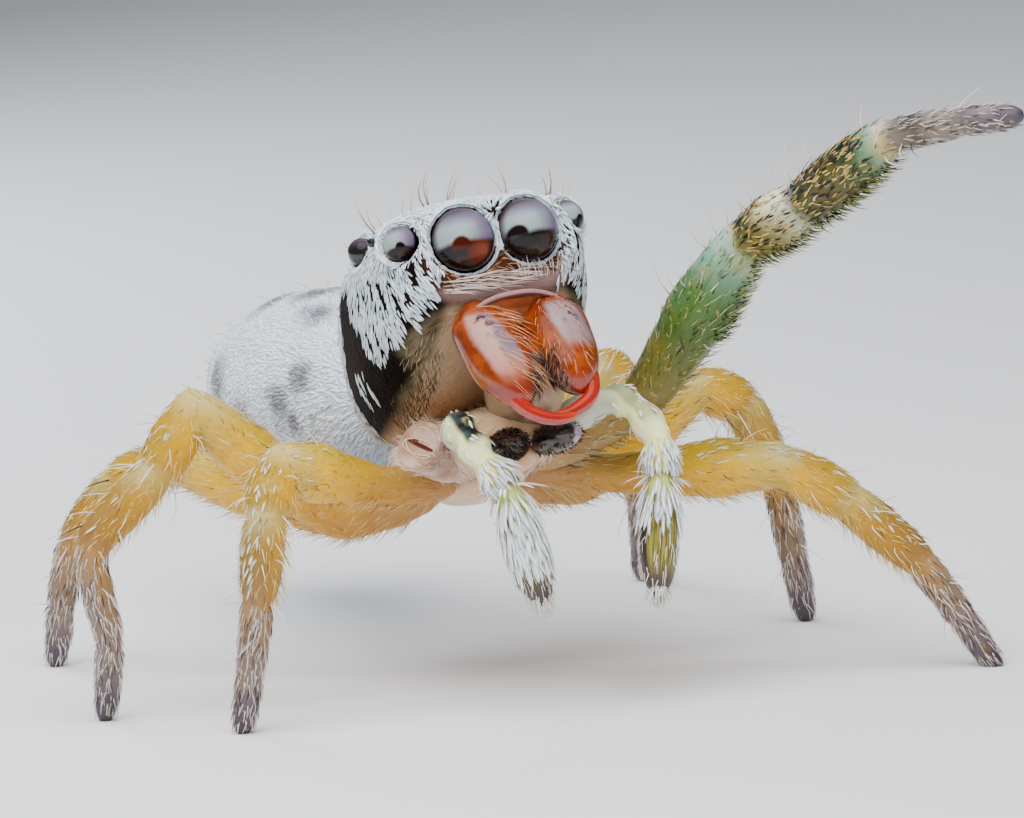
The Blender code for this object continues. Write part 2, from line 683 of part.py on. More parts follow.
def ellipsoid(centre, half, turn=0.0, segments=14):
    shape = bmesh.new()
    bmesh.ops.create_uvsphere(shape, u_segments=segments, v_segments=segments // 2, radius=1.0)
    bmesh.ops.scale(shape, verts=shape.verts, vec=half)
    spin = Matrix.Rotation(math.radians(turn), 3, "Z")
    bmesh.ops.rotate(shape, verts=shape.verts, cent=(0, 0, 0), matrix=spin)
    bmesh.ops.translate(shape, verts=shape.verts, vec=centre)
    bmesh.ops.transform(shape, matrix=BODY, verts=shape.verts)
    return shape


def make_underside():
    """The sternum between the legs, and the lip with its two side plates in front of it."""
    finish_node(
        as_object("sternum", ellipsoid(STERNUM_AT, STERNUM_HALF)), "pale_underside", BODY @ STERNUM_AT
    )
    lip = as_object("mouthparts", ellipsoid(LIP_AT, LIP_HALF))
    plates = []
    for sign in (1, -1):
        place = Vector((sign * MOUTH_PLATE_AT.x, MOUTH_PLATE_AT.y, MOUTH_PLATE_AT.z))
        plates.append(as_object("plate", ellipsoid(place, MOUTH_PLATE_HALF, sign * MOUTH_PLATE_TURN)))
    apply_boolean(lip, plates, "UNION")
    finish_node(lip, "dark_mouth", BODY @ LIP_AT)


def abdomen_profile(t):
    """The abdomen's radius at a share of its length: a blunt front, widest before the middle."""
    return math.sqrt(max(0.0, 1.0 - abs(2.0 * t ** 0.92 - 1.0) ** 2.3))


def make_abdomen():
    axis = ABDOMEN_REAR - ABDOMEN_FRONT
    across = Vector((1, 0, 0))
    up = across.cross(axis.normalized())
    rings = []
    steps = 20
    for step in range(steps + 1):
        t = 0.5 - 0.5 * math.cos(math.pi * (0.03 + 0.94 * step / steps))
        radius = abdomen_profile(t)
        centre = ABDOMEN_FRONT + axis * t + up * 0.10 * math.sin(math.pi * t)
        rings.append([
            centre
            + across * ABDOMEN_HALF_WIDTH * radius * math.cos(2 * math.pi * k / ROUND_SIDES)
            + up * ABDOMEN_HALF_HEIGHT * radius * math.sin(2 * math.pi * k / ROUND_SIDES)
            for k in range(ROUND_SIDES)
        ])
    finish_node(as_object("abdomen", loft(rings)), "abdomen_white", ABDOMEN_FRONT.lerp(ABDOMEN_REAR, 0.5))

    tip = rings[-1]
    rear = sum(tip, Vector()) / len(tip)
    outward = axis.normalized()
    start = rear + outward * GAP
    cones = []
    for across_share, up_share in ((-0.8, 0.35), (0.8, 0.35), (0.0, -0.6), (0.0, 0.1)):
        base = start + across * across_share * SPINNERET_RADIUS + up * up_share * SPINNERET_RADIUS
        end = base + outward * SPINNERET_LENGTH + across * across_share * 0.05
        cones.append(as_object("spinnerets", loft(segment_rings(
            base, end, outward, outward, up, SPINNERET_RADIUS, ((0.0, 1.0), (0.6, 0.8), (1.0, 0.35))
        ))))
    apply_boolean(cones[0], cones[1:], "UNION")
    finish_node(cones[0], "pale_underside", start)


def make_pedicel():
    """The narrow waist between the carapace and the abdomen."""
    start = BODY @ Vector((0.0, CARAPACE[-1][0] + GAP, -0.04))
    end = ABDOMEN_FRONT + (ABDOMEN_REAR - ABDOMEN_FRONT) * 0.0022 - Vector((0, GAP, 0))
    direction = (end - start).normalized()
    back = BODY.to_3x3() @ Vector((0, 1, 0))
    rings = segment_rings(
        start, end, back, Vector((0, 1, 0)), Vector((1, 0, 0)), 0.12, ((0.0, 1.0), (0.5, 0.9), (1.0, 1.0))
    )
    finish_node(as_object("pedicel", loft(rings)), "pale_underside", start + direction * GAP)


def centre_on_floor():
    """Moves the whole spider so that the middle of its outline is over the origin."""
    bpy.context.view_layer.update()
    nodes = list(bpy.data.objects)
    corners = [node.matrix_world @ vert.co for node in nodes for vert in node.data.vertices]
    for axis in (0, 1):
        middle = (min(c[axis] for c in corners) + max(c[axis] for c in corners)) / 2
        for node in nodes:
            node.location[axis] -= middle


clear_scene()
make_head()
make_chelicerae()
make_underside()
make_pedicel()
make_abdomen()
make_palps()
make_stump()
for leg in LEGS:
    make_leg(leg)
centre_on_floor()
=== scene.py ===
# %% [markdown]
# # A life-size jumping spider
# This lesson dresses the solids of a small jumping spider, a phintella, as a museum would show it:
# bare translucent skin on the legs, glossy lenses, and thousands of fine scales and hairs.
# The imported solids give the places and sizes. Every piece below is built round them in the same frame.

import math

import bmesh
import bpy
import numpy as np
from mathutils import Matrix, Vector


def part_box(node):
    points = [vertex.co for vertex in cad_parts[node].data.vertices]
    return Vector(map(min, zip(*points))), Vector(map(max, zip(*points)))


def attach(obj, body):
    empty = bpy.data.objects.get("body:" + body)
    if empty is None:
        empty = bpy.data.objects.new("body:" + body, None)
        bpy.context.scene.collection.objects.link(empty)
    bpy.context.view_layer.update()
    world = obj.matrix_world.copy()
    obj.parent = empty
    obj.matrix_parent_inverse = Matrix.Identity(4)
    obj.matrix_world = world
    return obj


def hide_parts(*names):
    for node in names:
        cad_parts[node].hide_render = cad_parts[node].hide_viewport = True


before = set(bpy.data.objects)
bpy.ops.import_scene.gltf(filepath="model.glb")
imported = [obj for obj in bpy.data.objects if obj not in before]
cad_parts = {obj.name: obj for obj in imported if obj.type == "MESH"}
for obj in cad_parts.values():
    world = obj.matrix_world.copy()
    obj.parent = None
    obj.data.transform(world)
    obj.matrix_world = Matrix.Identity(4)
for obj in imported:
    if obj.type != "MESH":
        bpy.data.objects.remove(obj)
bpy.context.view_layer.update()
print("solid pieces:", len(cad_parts))

# %% [markdown]
# ## One frame for everything
# The animal is only eight millimetres long, so the shapes are worked out in millimetres and made
# metres at the very end, when a piece is finished. The head is tipped up on its body, so the head's
# pieces have a frame of their own, called BODY, in which the face looks along minus Y. The solids
# were centred on the floor after they were made. The two big front eyes tell by how much.

# %% The head's frame and the shift to the centred solids
MM = 0.001
BODY = (
    Matrix.Translation((0.0, -0.31, 2.14))
    @ Matrix.Rotation(math.radians(-2.0), 4, "Y")
    @ Matrix.Rotation(math.radians(-16.0), 4, "X")
)


def box_middle(node):
    low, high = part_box(node)
    return (low + high) / 2 / MM


EYES_MIDDLE = (box_middle("eye_front_middle_left") + box_middle("eye_front_middle_right")) / 2
EYES_MIDDLE_IN_HEAD = Vector((0.0, -1.25, 0.95))
SHIFT = EYES_MIDDLE - BODY @ EYES_MIDDLE_IN_HEAD
print("shift in mm:", [round(s, 3) for s in SHIFT])

# %% [markdown]
# ## The camera
# A macro photograph of so small an animal is taken from far off for its size, so the lens here is
# long. The camera looks from the animal's right front, a little from above, and is tipped a few
# degrees about its own axis, as a camera held in the hand is.

# %% Place the camera
CAMERA_TURN = math.radians(-21.0)
CAMERA_RISE = math.radians(9.5)
CAMERA_ROLL = math.radians(3.5)
CAMERA_DISTANCE = 102.3
LENS_LENGTH = 500.0
SENSOR_WIDTH = 36.0
AIM_RIGHT_OF_EYES = 0.0533
AIM_BELOW_EYES = 1.2502
PICTURE_RIGHT = Vector((math.cos(CAMERA_TURN), math.sin(CAMERA_TURN), 0.0))
TOWARDS_CAMERA = Vector((
    math.sin(CAMERA_TURN) * math.cos(CAMERA_RISE),
    -math.cos(CAMERA_TURN) * math.cos(CAMERA_RISE),
    math.sin(CAMERA_RISE),
))
PICTURE_UP = TOWARDS_CAMERA.cross(PICTURE_RIGHT)


def frame_of(x_axis, y_axis, z_axis, at):
    """A placement with these three axes and this origin."""
    made = Matrix.Identity(4)
    for column, axis in enumerate((x_axis, y_axis, z_axis, at)):
        for row in range(3):
            made[row][column] = axis[row]
    return made


def place_camera():
    lens = bpy.data.cameras.new("camera")
    lens.lens = LENS_LENGTH
    lens.sensor_width = SENSOR_WIDTH
    lens.clip_start = 0.001
    lens.clip_end = 10.0
    camera = bpy.data.objects.new("camera", lens)
    aim = EYES_MIDDLE + PICTURE_RIGHT * AIM_RIGHT_OF_EYES - PICTURE_UP * AIM_BELOW_EYES
    tipped_right = PICTURE_RIGHT * math.cos(CAMERA_ROLL) - PICTURE_UP * math.sin(CAMERA_ROLL)
    tipped_up = PICTURE_RIGHT * math.sin(CAMERA_ROLL) + PICTURE_UP * math.cos(CAMERA_ROLL)
    at = (aim + TOWARDS_CAMERA * CAMERA_DISTANCE) * MM
    camera.matrix_world = frame_of(tipped_right, tipped_up, TOWARDS_CAMERA, at)
    bpy.context.scene.collection.objects.link(camera)
    bpy.context.scene.camera = camera
    print("camera at mm:", [round(c / MM, 1) for c in at])


place_camera()

# %% [markdown]
# ## Materials written as sums
# A material is a small program of nodes. Writing `1 - mask` is easier to read than placing a Math
# node by hand, so the class below wraps one output of a node and turns Python's operators into Math
# nodes. One method makes any other node: its settings are set first, then its inputs.

# %% The value class and the finish class


class Value:
    """One output in a material's nodes."""

    def __init__(self, tree, socket):
        self.tree = tree
        self.socket = socket

    def node(self, kind, inputs=None, output=0, stops=None, **settings):
        made = self.tree.nodes.new(kind)
        for name, setting in settings.items():
            setattr(made, name, setting)
        if stops:
            ramp = made.color_ramp
            stops = sorted(stops)
            for place, colour in stops[1:-1]:
                ramp.elements.new(place)
            for element, (place, colour) in zip(ramp.elements, stops):
                element.position = place
                element.color = (*colour, 1.0)
        for name, given in (inputs or {}).items():
            if isinstance(given, Value):
                self.tree.links.new(given.socket, made.inputs[name])
            else:
                made.inputs[name].default_value = given
        return Value(self.tree, made.outputs[output])

    def split(self):
        """The three parts of a vector."""
        parts = self.node("ShaderNodeSeparateXYZ", {0: self}).socket.node
        return [Value(self.tree, part) for part in parts.outputs]

    def from_middle(self, middle=0.5):
        """How far this value lies from a middle one, on either side."""
        return (self - middle).math("ABSOLUTE")

    def math(self, operation, *others):
        inputs = {0: self}
        inputs.update({k + 1: other for k, other in enumerate(others)})
        return self.node("ShaderNodeMath", inputs, operation=operation)

    def __add__(self, other):
        return self.math("ADD", other)

    __radd__ = __add__

    def __mul__(self, other):
        return self.math("MULTIPLY", other)

    __rmul__ = __mul__

    def __sub__(self, other):
        return self.math("SUBTRACT", other)

    def __rsub__(self, other):
        return (self * -1.0) + other

    def ramp(self, low, high):
        """Rises smoothly from 0 to 1 between two values."""
        inputs = {"Value": self, "From Min": low, "From Max": high}
        return self.node("ShaderNodeMapRange", inputs, interpolation_type="SMOOTHSTEP")

    def colours(self, *stops):
        """A colour ramp read at this value."""
        return self.node("ShaderNodeValToRGB", {0: self}, stops=stops)

    def mix(self, low, high):
        """Goes from one colour to another as this value goes from 0 to 1."""
        low, high = ((*c, 1.0) if isinstance(c, tuple) else c for c in (low, high))
        return self.node("ShaderNodeMix", {0: self, 6: low, 7: high}, 2, data_type="RGBA")


def tone(red, green, blue):
    """A colour from its three values on a screen, 0 to 255, as linear light."""
    return tuple(
        c / 3294.6 if c <= 10.31 else ((c / 255 + 0.055) / 1.055) ** 2.4 for c in (red, green, blue)
    )


class Finish:
    """A Principled material. Fixed values are set on the shader's own sockets."""

    def __init__(self, name, slot, **fixed):
        self.material = bpy.data.materials.new(name)
        self.material.use_nodes = True
        self.slot = slot
        self.tree = self.material.node_tree
        self.shader = self.tree.nodes["Principled BSDF"]
        for name, value in fixed.items():
            socket = self.shader.inputs[name.replace("_", " ")]
            is_colour = isinstance(value, tuple) and len(socket.default_value) == 4
            socket.default_value = (*value, 1.0) if is_colour else value
        self.start = Value(self.tree, None)

    def where(self):
        """The place in millimetres, whatever the piece."""
        place = self.start.node("ShaderNodeTexCoord", output="Object")
        return self.start.node("ShaderNodeMapping", {"Vector": place, "Scale": (1 / MM,) * 3})

    def lay(self):
        """The turn round a piece, 0.5 on its top, and the share along it."""
        return self.start.node("ShaderNodeUVMap", uv_map="Lay").split()[:2]

    def attribute(self, name):
        return self.start.node("ShaderNodeAttribute", output="Fac", attribute_name=name)

    def noise(self, place, scale, detail=2.0, output="Fac"):
        inputs = {"Vector": place, "Scale": scale, "Detail": detail}
        return self.start.node("ShaderNodeTexNoise", inputs, output)

    def grain(self, *parts, detail=2.0):
        """Noise in a space of its own, stretched by the factors already in its parts."""
        place = parts[0].node("ShaderNodeCombineXYZ", dict(enumerate(parts)))
        return self.noise(place, 1.0, detail)

    def drive(self, name, value):
        self.tree.links.new(value.socket, self.shader.inputs[name])

    def bump(self, height, depth_mm, strength=1.0):
        relief = self.start.node(
            "ShaderNodeBump", {"Height": height, "Distance": depth_mm * MM, "Strength": strength}
        )
        self.drive("Normal", relief)


print("screen grey 128 is", round(tone(128, 128, 128)[0], 3), "in linear light")

# %% [markdown]
# ## Finishing a piece
# Every piece ends the same way: it is moved and scaled into the solids' frame, its faces are turned
# outwards, and it is told which solids it stands for and which finish it takes.

# %% Turn a bmesh into a finished piece


def tell_frame(made, finish, nodes):
    bpy.context.scene.collection.objects.link(made)
    made.data.materials.append(finish.material)
    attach(made, "root")
    if nodes:
        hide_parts(*nodes)
    return made


def finish_piece(name, shape, finish, nodes=()):
    bmesh.ops.recalc_face_normals(shape, faces=shape.faces)
    to_solids = Matrix.Scale(MM, 4) @ Matrix.Translation(SHIFT)
    bmesh.ops.transform(shape, matrix=to_solids, verts=shape.verts)
    mesh = bpy.data.meshes.new(name)
    shape.to_mesh(mesh)
    shape.free()
    mesh.shade_smooth()
    return tell_frame(bpy.data.objects.new(name, mesh), finish, nodes)


print("one millimetre becomes", MM, "metres")

# %% [markdown]
# ## Skins by extrusion
# Legs, palps, jaws, head and abdomen are all tubes of changing girth. A circle is drawn once and
# extruded from ring to ring, and each new ring is moved by the step from the last placement to the
# next. The turn round the ring and the share along the tube are written to a UV map named Lay, which
# the colours and the coat both read.

# %% The tube helper


def perpendicular(vector, direction):
    return (vector - direction * vector.dot(direction)).normalized()


def ring_place(centre, direction, plane, side, wide, high=None):
    """The placement that makes a unit circle a ring across the direction, lying in the plane."""
    across = perpendicular(side, direction)
    up = direction.cross(across)
    axes = []
    for way, radius in ((across, wide), (up, high or wide)):
        offset = way * radius
        axes.append(offset - direction * offset.dot(plane) / direction.dot(plane))
    return frame_of(*axes, direction, centre)


def tube(places, alongs, sides, squareness=2.0):
    """A closed tube through a row of placements, with its lay in a UV map."""
    shape = bmesh.new()
    turn = shape.verts.layers.float.new("turn")
    along = shape.verts.layers.float.new("along")
    ring = bmesh.ops.create_circle(shape, cap_ends=False, radius=1.0, segments=sides)["verts"]
    for vert in ring:
        vert[turn] = (math.atan2(vert.co.x, -vert.co.y) / (2 * math.pi)) % 1.0
        vert[along] = alongs[0]
        for axis in (0, 1):
            vert.co[axis] = math.copysign(abs(vert.co[axis]) ** (2 / squareness), vert.co[axis])
    bmesh.ops.transform(shape, matrix=places[0], verts=ring)
    edges = list(shape.edges)
    bmesh.ops.edgeloop_fill(shape, edges=edges)
    for before, after, share in zip(places, places[1:], alongs[1:]):
        grown = bmesh.ops.extrude_edge_only(shape, edges=edges)["geom"]
        verts = [g for g in grown if isinstance(g, bmesh.types.BMVert)]
        edges = [g for g in grown
                 if isinstance(g, bmesh.types.BMEdge) and all(v in verts for v in g.verts)]
        for vert in verts:
            vert[along] = share
        bmesh.ops.transform(shape, matrix=after @ before.inverted(), verts=verts)
    bmesh.ops.edgeloop_fill(shape, edges=edges)
    bmesh.ops.recalc_face_normals(shape, faces=shape.faces)
    lay = shape.loops.layers.uv.new("Lay")
    for face in shape.faces:
        turns = [loop.vert[turn] for loop in face.loops]
        over_seam = max(turns) - min(turns) > 0.5 and len(turns) == 4
        for loop, at in zip(face.loops, turns):
            loop[lay].uv = (at + 1.0 if over_seam and at < 0.5 else at, loop.vert[along])
    return shape


def tube_by(place_at, steps, sides, squareness=2.0):
    """A tube whose rings are placed by a function of the share along it."""
    shares = [step / steps for step in range(steps + 1)]
    return tube([place_at(share) for share in shares], shares, sides, squareness)


test = tube_by(lambda share: Matrix.Translation((0, 0, 2 * share)), 2, 12)
print("a test tube has", len(test.faces), "faces")

# %% [markdown]
# ## Coats from arrays
# A hair or scale is a slim body of four sides. Making thousands of them one at a time would be slow,
# so their corners are worked out together as arrays and joined in one mesh. Each one grows from a
# root on a skin, rises by its lift, and bends down to its lie. Its roots' lay is kept, so skin and
# coat carry the same markings, and a second UV map, OFBake, gives each one a small patch of its own.

# %% Roots on a skin
SORTING_WAY = np.array((1.0, 0.731, 0.517))


def triangles(shape):
    """Corners, normals and lay of a skin's triangles, as arrays.

    Operators may hand out faces in a new order on each run. Sorted by place, they are always the
    same, and so are the hairs that are sown on them.
    """
    copy = shape.copy()
    bmesh.ops.triangulate(copy, faces=copy.faces)
    lay = copy.loops.layers.uv.active
    corners = np.array([[loop.vert.co for loop in face.loops] for face in copy.faces]).round(5)
    normals = np.array([[loop.vert.normal for loop in face.loops] for face in copy.faces]).round(4)
    lays = np.array([[loop[lay].uv for loop in face.loops] for face in copy.faces]).round(5)
    copy.free()
    span = np.arange(len(corners))[:, None]
    first = np.argmin(corners @ SORTING_WAY, axis=1)[:, None]
    turned = (np.arange(3) + first) % 3
    corners, normals, lays = (rows[span, turned] for rows in (corners, normals, lays))
    order = np.lexsort(corners.sum(axis=1).round(4).T)
    return corners[order], normals[order], lays[order]


def unit(rows):
    return rows / np.maximum(np.linalg.norm(rows, axis=1, keepdims=True), 1e-9)


def sow(skin, count, keep, seed, spacing=0.0):
    """Roots spread evenly over a skin, kept with the chance that keep gives for each place."""
    corners, normals, lays = skin
    draw = np.random.default_rng(seed)
    edges = corners[:, 1:] - corners[:, :1]
    areas = np.linalg.norm(np.cross(edges[:, 0], edges[:, 1]), axis=1)
    picked = draw.choice(len(areas), count, p=areas / areas.sum())
    a, b = draw.random((2, count))
    over = a + b > 1
    a[over], b[over] = 1 - a[over], 1 - b[over]
    weights = np.stack([1 - a - b, a, b], axis=1)[:, :, None]
    places, outward, lay = ((rows[picked] * weights).sum(axis=1) for rows in (corners, normals, lays))
    kept = draw.random(count) < keep(places, lay)
    places, outward, lay = places[kept], unit(outward[kept]), lay[kept]
    if spacing:
        cells = {}
        chosen = []
        for k, cell in enumerate(map(tuple, np.floor(places / spacing).astype(int))):
            if cells.setdefault(cell, k) == k:
                chosen.append(k)
        places, outward, lay = places[chosen], outward[chosen], lay[chosen]
    return places, outward, lay


print("the test tube has", len(triangles(test)[0]), "triangles to sow on")
test.free()

# %% [markdown]
# ## One hair, one scale
# A scale is narrow at its root, broad in its middle and pointed, and a hair only tapers. Both are
# drawn with five rows of four corners, which is enough for so small a thing. Particles could do it
# too, but solid meshes look the same on every side and in every program.

# %% Hairs and scales
SCALE_STEPS = np.array([0.0, 0.18, 0.50, 0.82, 1.0])
SCALE_WIDTHS = np.array([0.35, 0.85, 1.0, 0.70, 0.08])
HAIR_STEPS = np.array([0.0, 0.3, 0.6, 0.85, 1.0])
HAIR_WIDTHS = np.array([1.0, 0.85, 0.6, 0.35, 0.08])
CORNERS = np.array([(1.0, 0.0), (0.0, 1.0), (-1.0, 0.0), (0.0, -1.0)])
ROOT_DEPTH = 0.4
PATCH = 0.003


def per_root(value, count):
    return np.broadcast_to(np.asarray(value, float), (count,))


def coat(name, roots, lie, finish, length, width, thick, lift, settle, seed, spread=12.0, hair=False):
    """Many hairs or scales as one mesh. Lengths are in millimetres, lift and settle in degrees."""
    places, outward, lay = roots
    count = len(places)
    draw = np.random.default_rng(seed)
    steps, widths = (HAIR_STEPS, HAIR_WIDTHS) if hair else (SCALE_STEPS, SCALE_WIDTHS)
    forward = unit(lie - outward * (lie * outward).sum(axis=1, keepdims=True))
    side = np.cross(forward, outward)
    swing = np.radians(draw.normal(0.0, spread, count))[:, None]
    forward, side = (
        forward * np.cos(swing) + side * np.sin(swing),
        side * np.cos(swing) - forward * np.sin(swing),
    )
    size = draw.uniform(0.75, 1.2, count)
    length = per_root(length, count) * size
    width = per_root(width, count) * draw.uniform(0.8, 1.15, count)
    lift = np.radians(per_root(lift, count) * draw.uniform(0.7, 1.4, count))
    settle = np.radians(per_root(settle, count) * draw.uniform(0.7, 1.3, count))
    corners = np.empty((count, len(steps), 4, 3))
    centre = places - outward * ROOT_DEPTH * thick
    slope = lift
    for j, step in enumerate(steps):
        if j:
            run = (step - steps[j - 1]) * length
            middle = (step + steps[j - 1]) / 2
            slope = lift + (settle - lift) * middle
            ahead = forward * np.cos(slope)[:, None] + outward * np.sin(slope)[:, None]
            centre = centre + ahead * run[:, None]
        rise = outward * np.cos(slope)[:, None] - forward * np.sin(slope)[:, None]
        for k, (across, up) in enumerate(CORNERS):
            half = width * widths[j] * across / 2
            deep = thick * widths[j] * up / 2
            corners[:, j, k] = centre + side * half[:, None] + rise * (deep if up else 0.0)
    return join_coat(name, corners, lay, steps, draw, finish)


def join_coat(name, corners, lay, steps, draw, finish):
    count, rows = corners.shape[:2]
    quads = [(4 * j + k, 4 * j + (k + 1) % 4, 4 * j + 4 + (k + 1) % 4, 4 * j + 4 + k)
             for j in range(rows - 1) for k in range(4)]
    quads += [(3, 2, 1, 0), tuple(4 * (rows - 1) + k for k in range(4))]
    quads = np.array(quads)
    faces = (quads[None] + (np.arange(count) * rows * 4)[:, None, None]).reshape(-1, 4)
    mesh = bpy.data.meshes.new(name)
    mesh.from_pydata(((corners.reshape(-1, 3) + np.array(SHIFT)) * MM).tolist(), [], faces.tolist())
    mesh.shade_smooth()
    flat = faces.reshape(-1)
    root = flat // (rows * 4)
    patch = PATCH * np.stack([(flat % 4) / 4, steps[(flat // 4) % rows]], axis=1)
    uv = mesh.uv_layers.new(name="OFBake")
    uv.uv.foreach_set("vector", (np.mod(lay[root], 1.0) * 0.99 + patch).astype(np.float32).ravel())
    uv = mesh.uv_layers.new(name="Lay")
    uv.uv.foreach_set("vector", lay[root].astype(np.float32).ravel())
    every = np.arange(count * rows * 4)
    tips, lucks = steps[(every // 4) % rows], draw.random(count)[every // (rows * 4)]
    for label, values in (("tip", tips), ("luck", lucks)):
        made = mesh.attributes.new(label, "FLOAT", "POINT")
        made.data.foreach_set("value", values.astype(np.float32))
    print(f"{name}: {count} hairs or scales, {2 * len(faces)} triangles")
    return tell_frame(bpy.data.objects.new(name, mesh), finish, ())


# %% [markdown]
# ## Dressing a skin
# Every coat is sown and then grown, so one function does both. A measure may be a number, or a
# function of the roots where hairs differ from place to place. The head's skins and ways are drawn in
# the head's own frame, so the function turns them into the animal's frame where it is told to.

# %% Sow and grow in one step


def to_solids(roots):
    """Roots found in the head's frame, moved to the animal's."""
    places, outward, lay = roots
    turn = np.array(BODY.to_3x3())
    return places @ turn.T + np.array(BODY.translation), outward @ turn.T, lay


def head_ways(ways):
    return ways @ np.array(BODY.to_3x3()).T


def dress(name, skin, keep, sown, lie, finish, size, lift, seed, spread=12.0, hair=True,
          head_skin=False, head_way=False):
    """sown is count, seed and spacing. size is length, width and thickness. lift ends at settle."""
    count, sow_seed, spacing = sown
    roots = sow(skin, count, keep, sow_seed, spacing)

    def at_roots(value):
        return value(roots[0], roots[2]) if callable(value) else value

    ways = np.array(np.broadcast_to(at_roots(lie), roots[0].shape), float)
    length, width, thick, lift, settle = (at_roots(value) for value in (*size, *lift))
    if head_skin:
        roots = to_solids(roots)
    if head_skin or head_way:
        ways = head_ways(ways)
    return coat(name, roots, ways, finish, length, width, thick, lift, settle, seed, spread, hair)


def only(mask, share=1.0):
    """A chance of growing that is zero outside the mask."""
    return np.where(mask, share, 0.0)


def under_skin(name, shape, finish, nodes=()):
    """Finishes a piece and gives back its skin, for a coat."""
    shape.normal_update()
    skin = triangles(shape)
    finish_piece(name, shape, finish, nodes)
    return skin


print("the head's frame is tipped by", [round(math.degrees(a), 1) for a in BODY.to_euler()])

# %% [markdown]
# ## The studio
# The floor is a wide pale disc. A large soft light stands above and before the animal, where a
# photographer would hold a diffuser. Mirrored whole in an eye it would be a hard white disc, so it is
# kept out of mirrors and a weaker panel in nearly the same place gives the eyes and jaws their shine.
# A third light fills the shadows, and a fourth draws a thin edge of light from behind.

# %% Floor and lights
LIT_MIDDLE = Vector((0.0, 0.0, 2.2))
FLOOR_RADIUS = 0.6


def make_floor():
    finish = Finish("floor_paper", "floor", Base_Color=tone(220, 221, 223), Roughness=0.9)
    shape = bmesh.new()
    bmesh.ops.create_circle(shape, cap_ends=True, radius=FLOOR_RADIUS, segments=96)
    mesh = bpy.data.meshes.new("floor")
    shape.to_mesh(mesh)
    shape.free()
    mesh.materials.append(finish.material)
    floor = bpy.data.objects.new("floor", mesh)
    bpy.context.scene.collection.objects.link(floor)


def soft_light(name, way, distance, size, power, colour, mirrored):
    """A round light that looks at the head from a way in the picture: right, up and towards us."""
    lamp = bpy.data.lights.new(name, "AREA")
    lamp.shape = "DISK"
    lamp.size = size * MM
    lamp.energy = power
    lamp.color = colour
    light = bpy.data.objects.new(name, lamp)
    back = (PICTURE_RIGHT * way[0] + PICTURE_UP * way[1] + TOWARDS_CAMERA * way[2]).normalized()
    at = (LIT_MIDDLE + back * distance) * MM
    light.matrix_world = Matrix.Translation(at) @ back.to_track_quat("Z", "Y").to_matrix().to_4x4()
    light.visible_glossy = mirrored
    bpy.context.scene.collection.objects.link(light)


LIGHTS = {
    "key": ((-0.2, 1.0, 0.65), 26.0, 34.0, 0.0192, (1.0, 1.0, 1.0), False),
    "mirrored_panel": ((-0.05, 1.0, 0.75), 26.0, 30.0, 0.0022, (1.0, 1.0, 1.0), True),
    "fill": ((0.9, 0.25, 0.7), 30.0, 22.0, 0.003, (0.93, 0.96, 1.0), False),
    "edge": ((-0.7, 0.6, -0.9), 30.0, 16.0, 0.009, (0.92, 0.95, 1.0), False),
}
ROOM_STRENGTH = 0.25


def light_studio():
    world = bpy.data.worlds.new("studio")
    world.use_nodes = True
    room = world.node_tree.nodes["Background"].inputs
    room["Color"].default_value = (*tone(214, 217, 222), 1.0)
    room["Strength"].default_value = ROOM_STRENGTH
    bpy.context.scene.world = world
    for name, settings in LIGHTS.items():
        soft_light(name, *settings)


make_floor()
light_studio()

# %% [markdown]
# ## The head shield
# The shield is a firm box, high in front and sloping away behind. It could be pushed into shape from
# a cube, but a table of thirteen sections is easier to correct: how far back, half width, top and
# bottom. Many finer rings are drawn between them, and each eye then gets a socket, by pushing the
# points under its lens inwards.

# %% The shield's sections and the eyes' places
SHIELD = (
    (-1.378, 0.02, 0.85, 0.83), (-1.375, 0.20, 0.96, 0.73),
    (-1.37, 0.36, 1.05, 0.63), (-1.34, 0.52, 1.16, 0.52), (-1.24, 0.64, 1.23, 0.40),
    (-1.02, 0.74, 1.28, 0.18), (-0.70, 0.80, 1.32, -0.06), (-0.30, 0.83, 1.33, -0.24),
    (0.12, 0.80, 1.22, -0.32), (0.50, 0.70, 0.92, -0.33), (0.80, 0.53, 0.50, -0.29),
    (0.98, 0.30, 0.14, -0.20), (1.00, 0.03, 0.00, -0.06),
)
SHIELD_SUNK = 0.012
EYES = {
    "front_middle": (Vector((0.245, -1.25, 0.95)), 0.237, 6.0, 4.0),
    "front_side": (Vector((0.640, -1.055, 1.015)), 0.133, 28.0, 12.0),
    "small": (Vector((0.715, -0.66, 1.10)), 0.034, 75.0, 40.0),
    "rear": (Vector((0.70, -0.38, 1.07)), 0.105, 80.0, 25.0),
}


def smooth_row(rows, at):
    """The row at a place along a table, on a Catmull-Rom curve through its rows."""
    first = min(int(at), len(rows) - 2)
    t = at - first
    near = [rows[max(0, min(len(rows) - 1, first + k))] for k in (-1, 0, 1, 2)]
    return [
        0.5 * (2 * b + (c - a) * t + (2 * a - 5 * b + 4 * c - d) * t * t + (3 * b - 3 * c + d - a) * t ** 3)
        for a, b, c, d in zip(*near)
    ]


def eye_places():
    """Name, side, middle, radius and axis of all eight eyes, in the head's frame."""
    for name, (place, radius, heading, tilt) in EYES.items():
        for side, sign in (("left", 1), ("right", -1)):
            turn, rise = math.radians(sign * heading), math.radians(tilt)
            axis = Vector((math.sin(turn) * math.cos(rise), -math.cos(turn) * math.cos(rise), math.sin(rise)))
            yield name, side, Vector((sign * place.x, place.y, place.z)), radius, axis


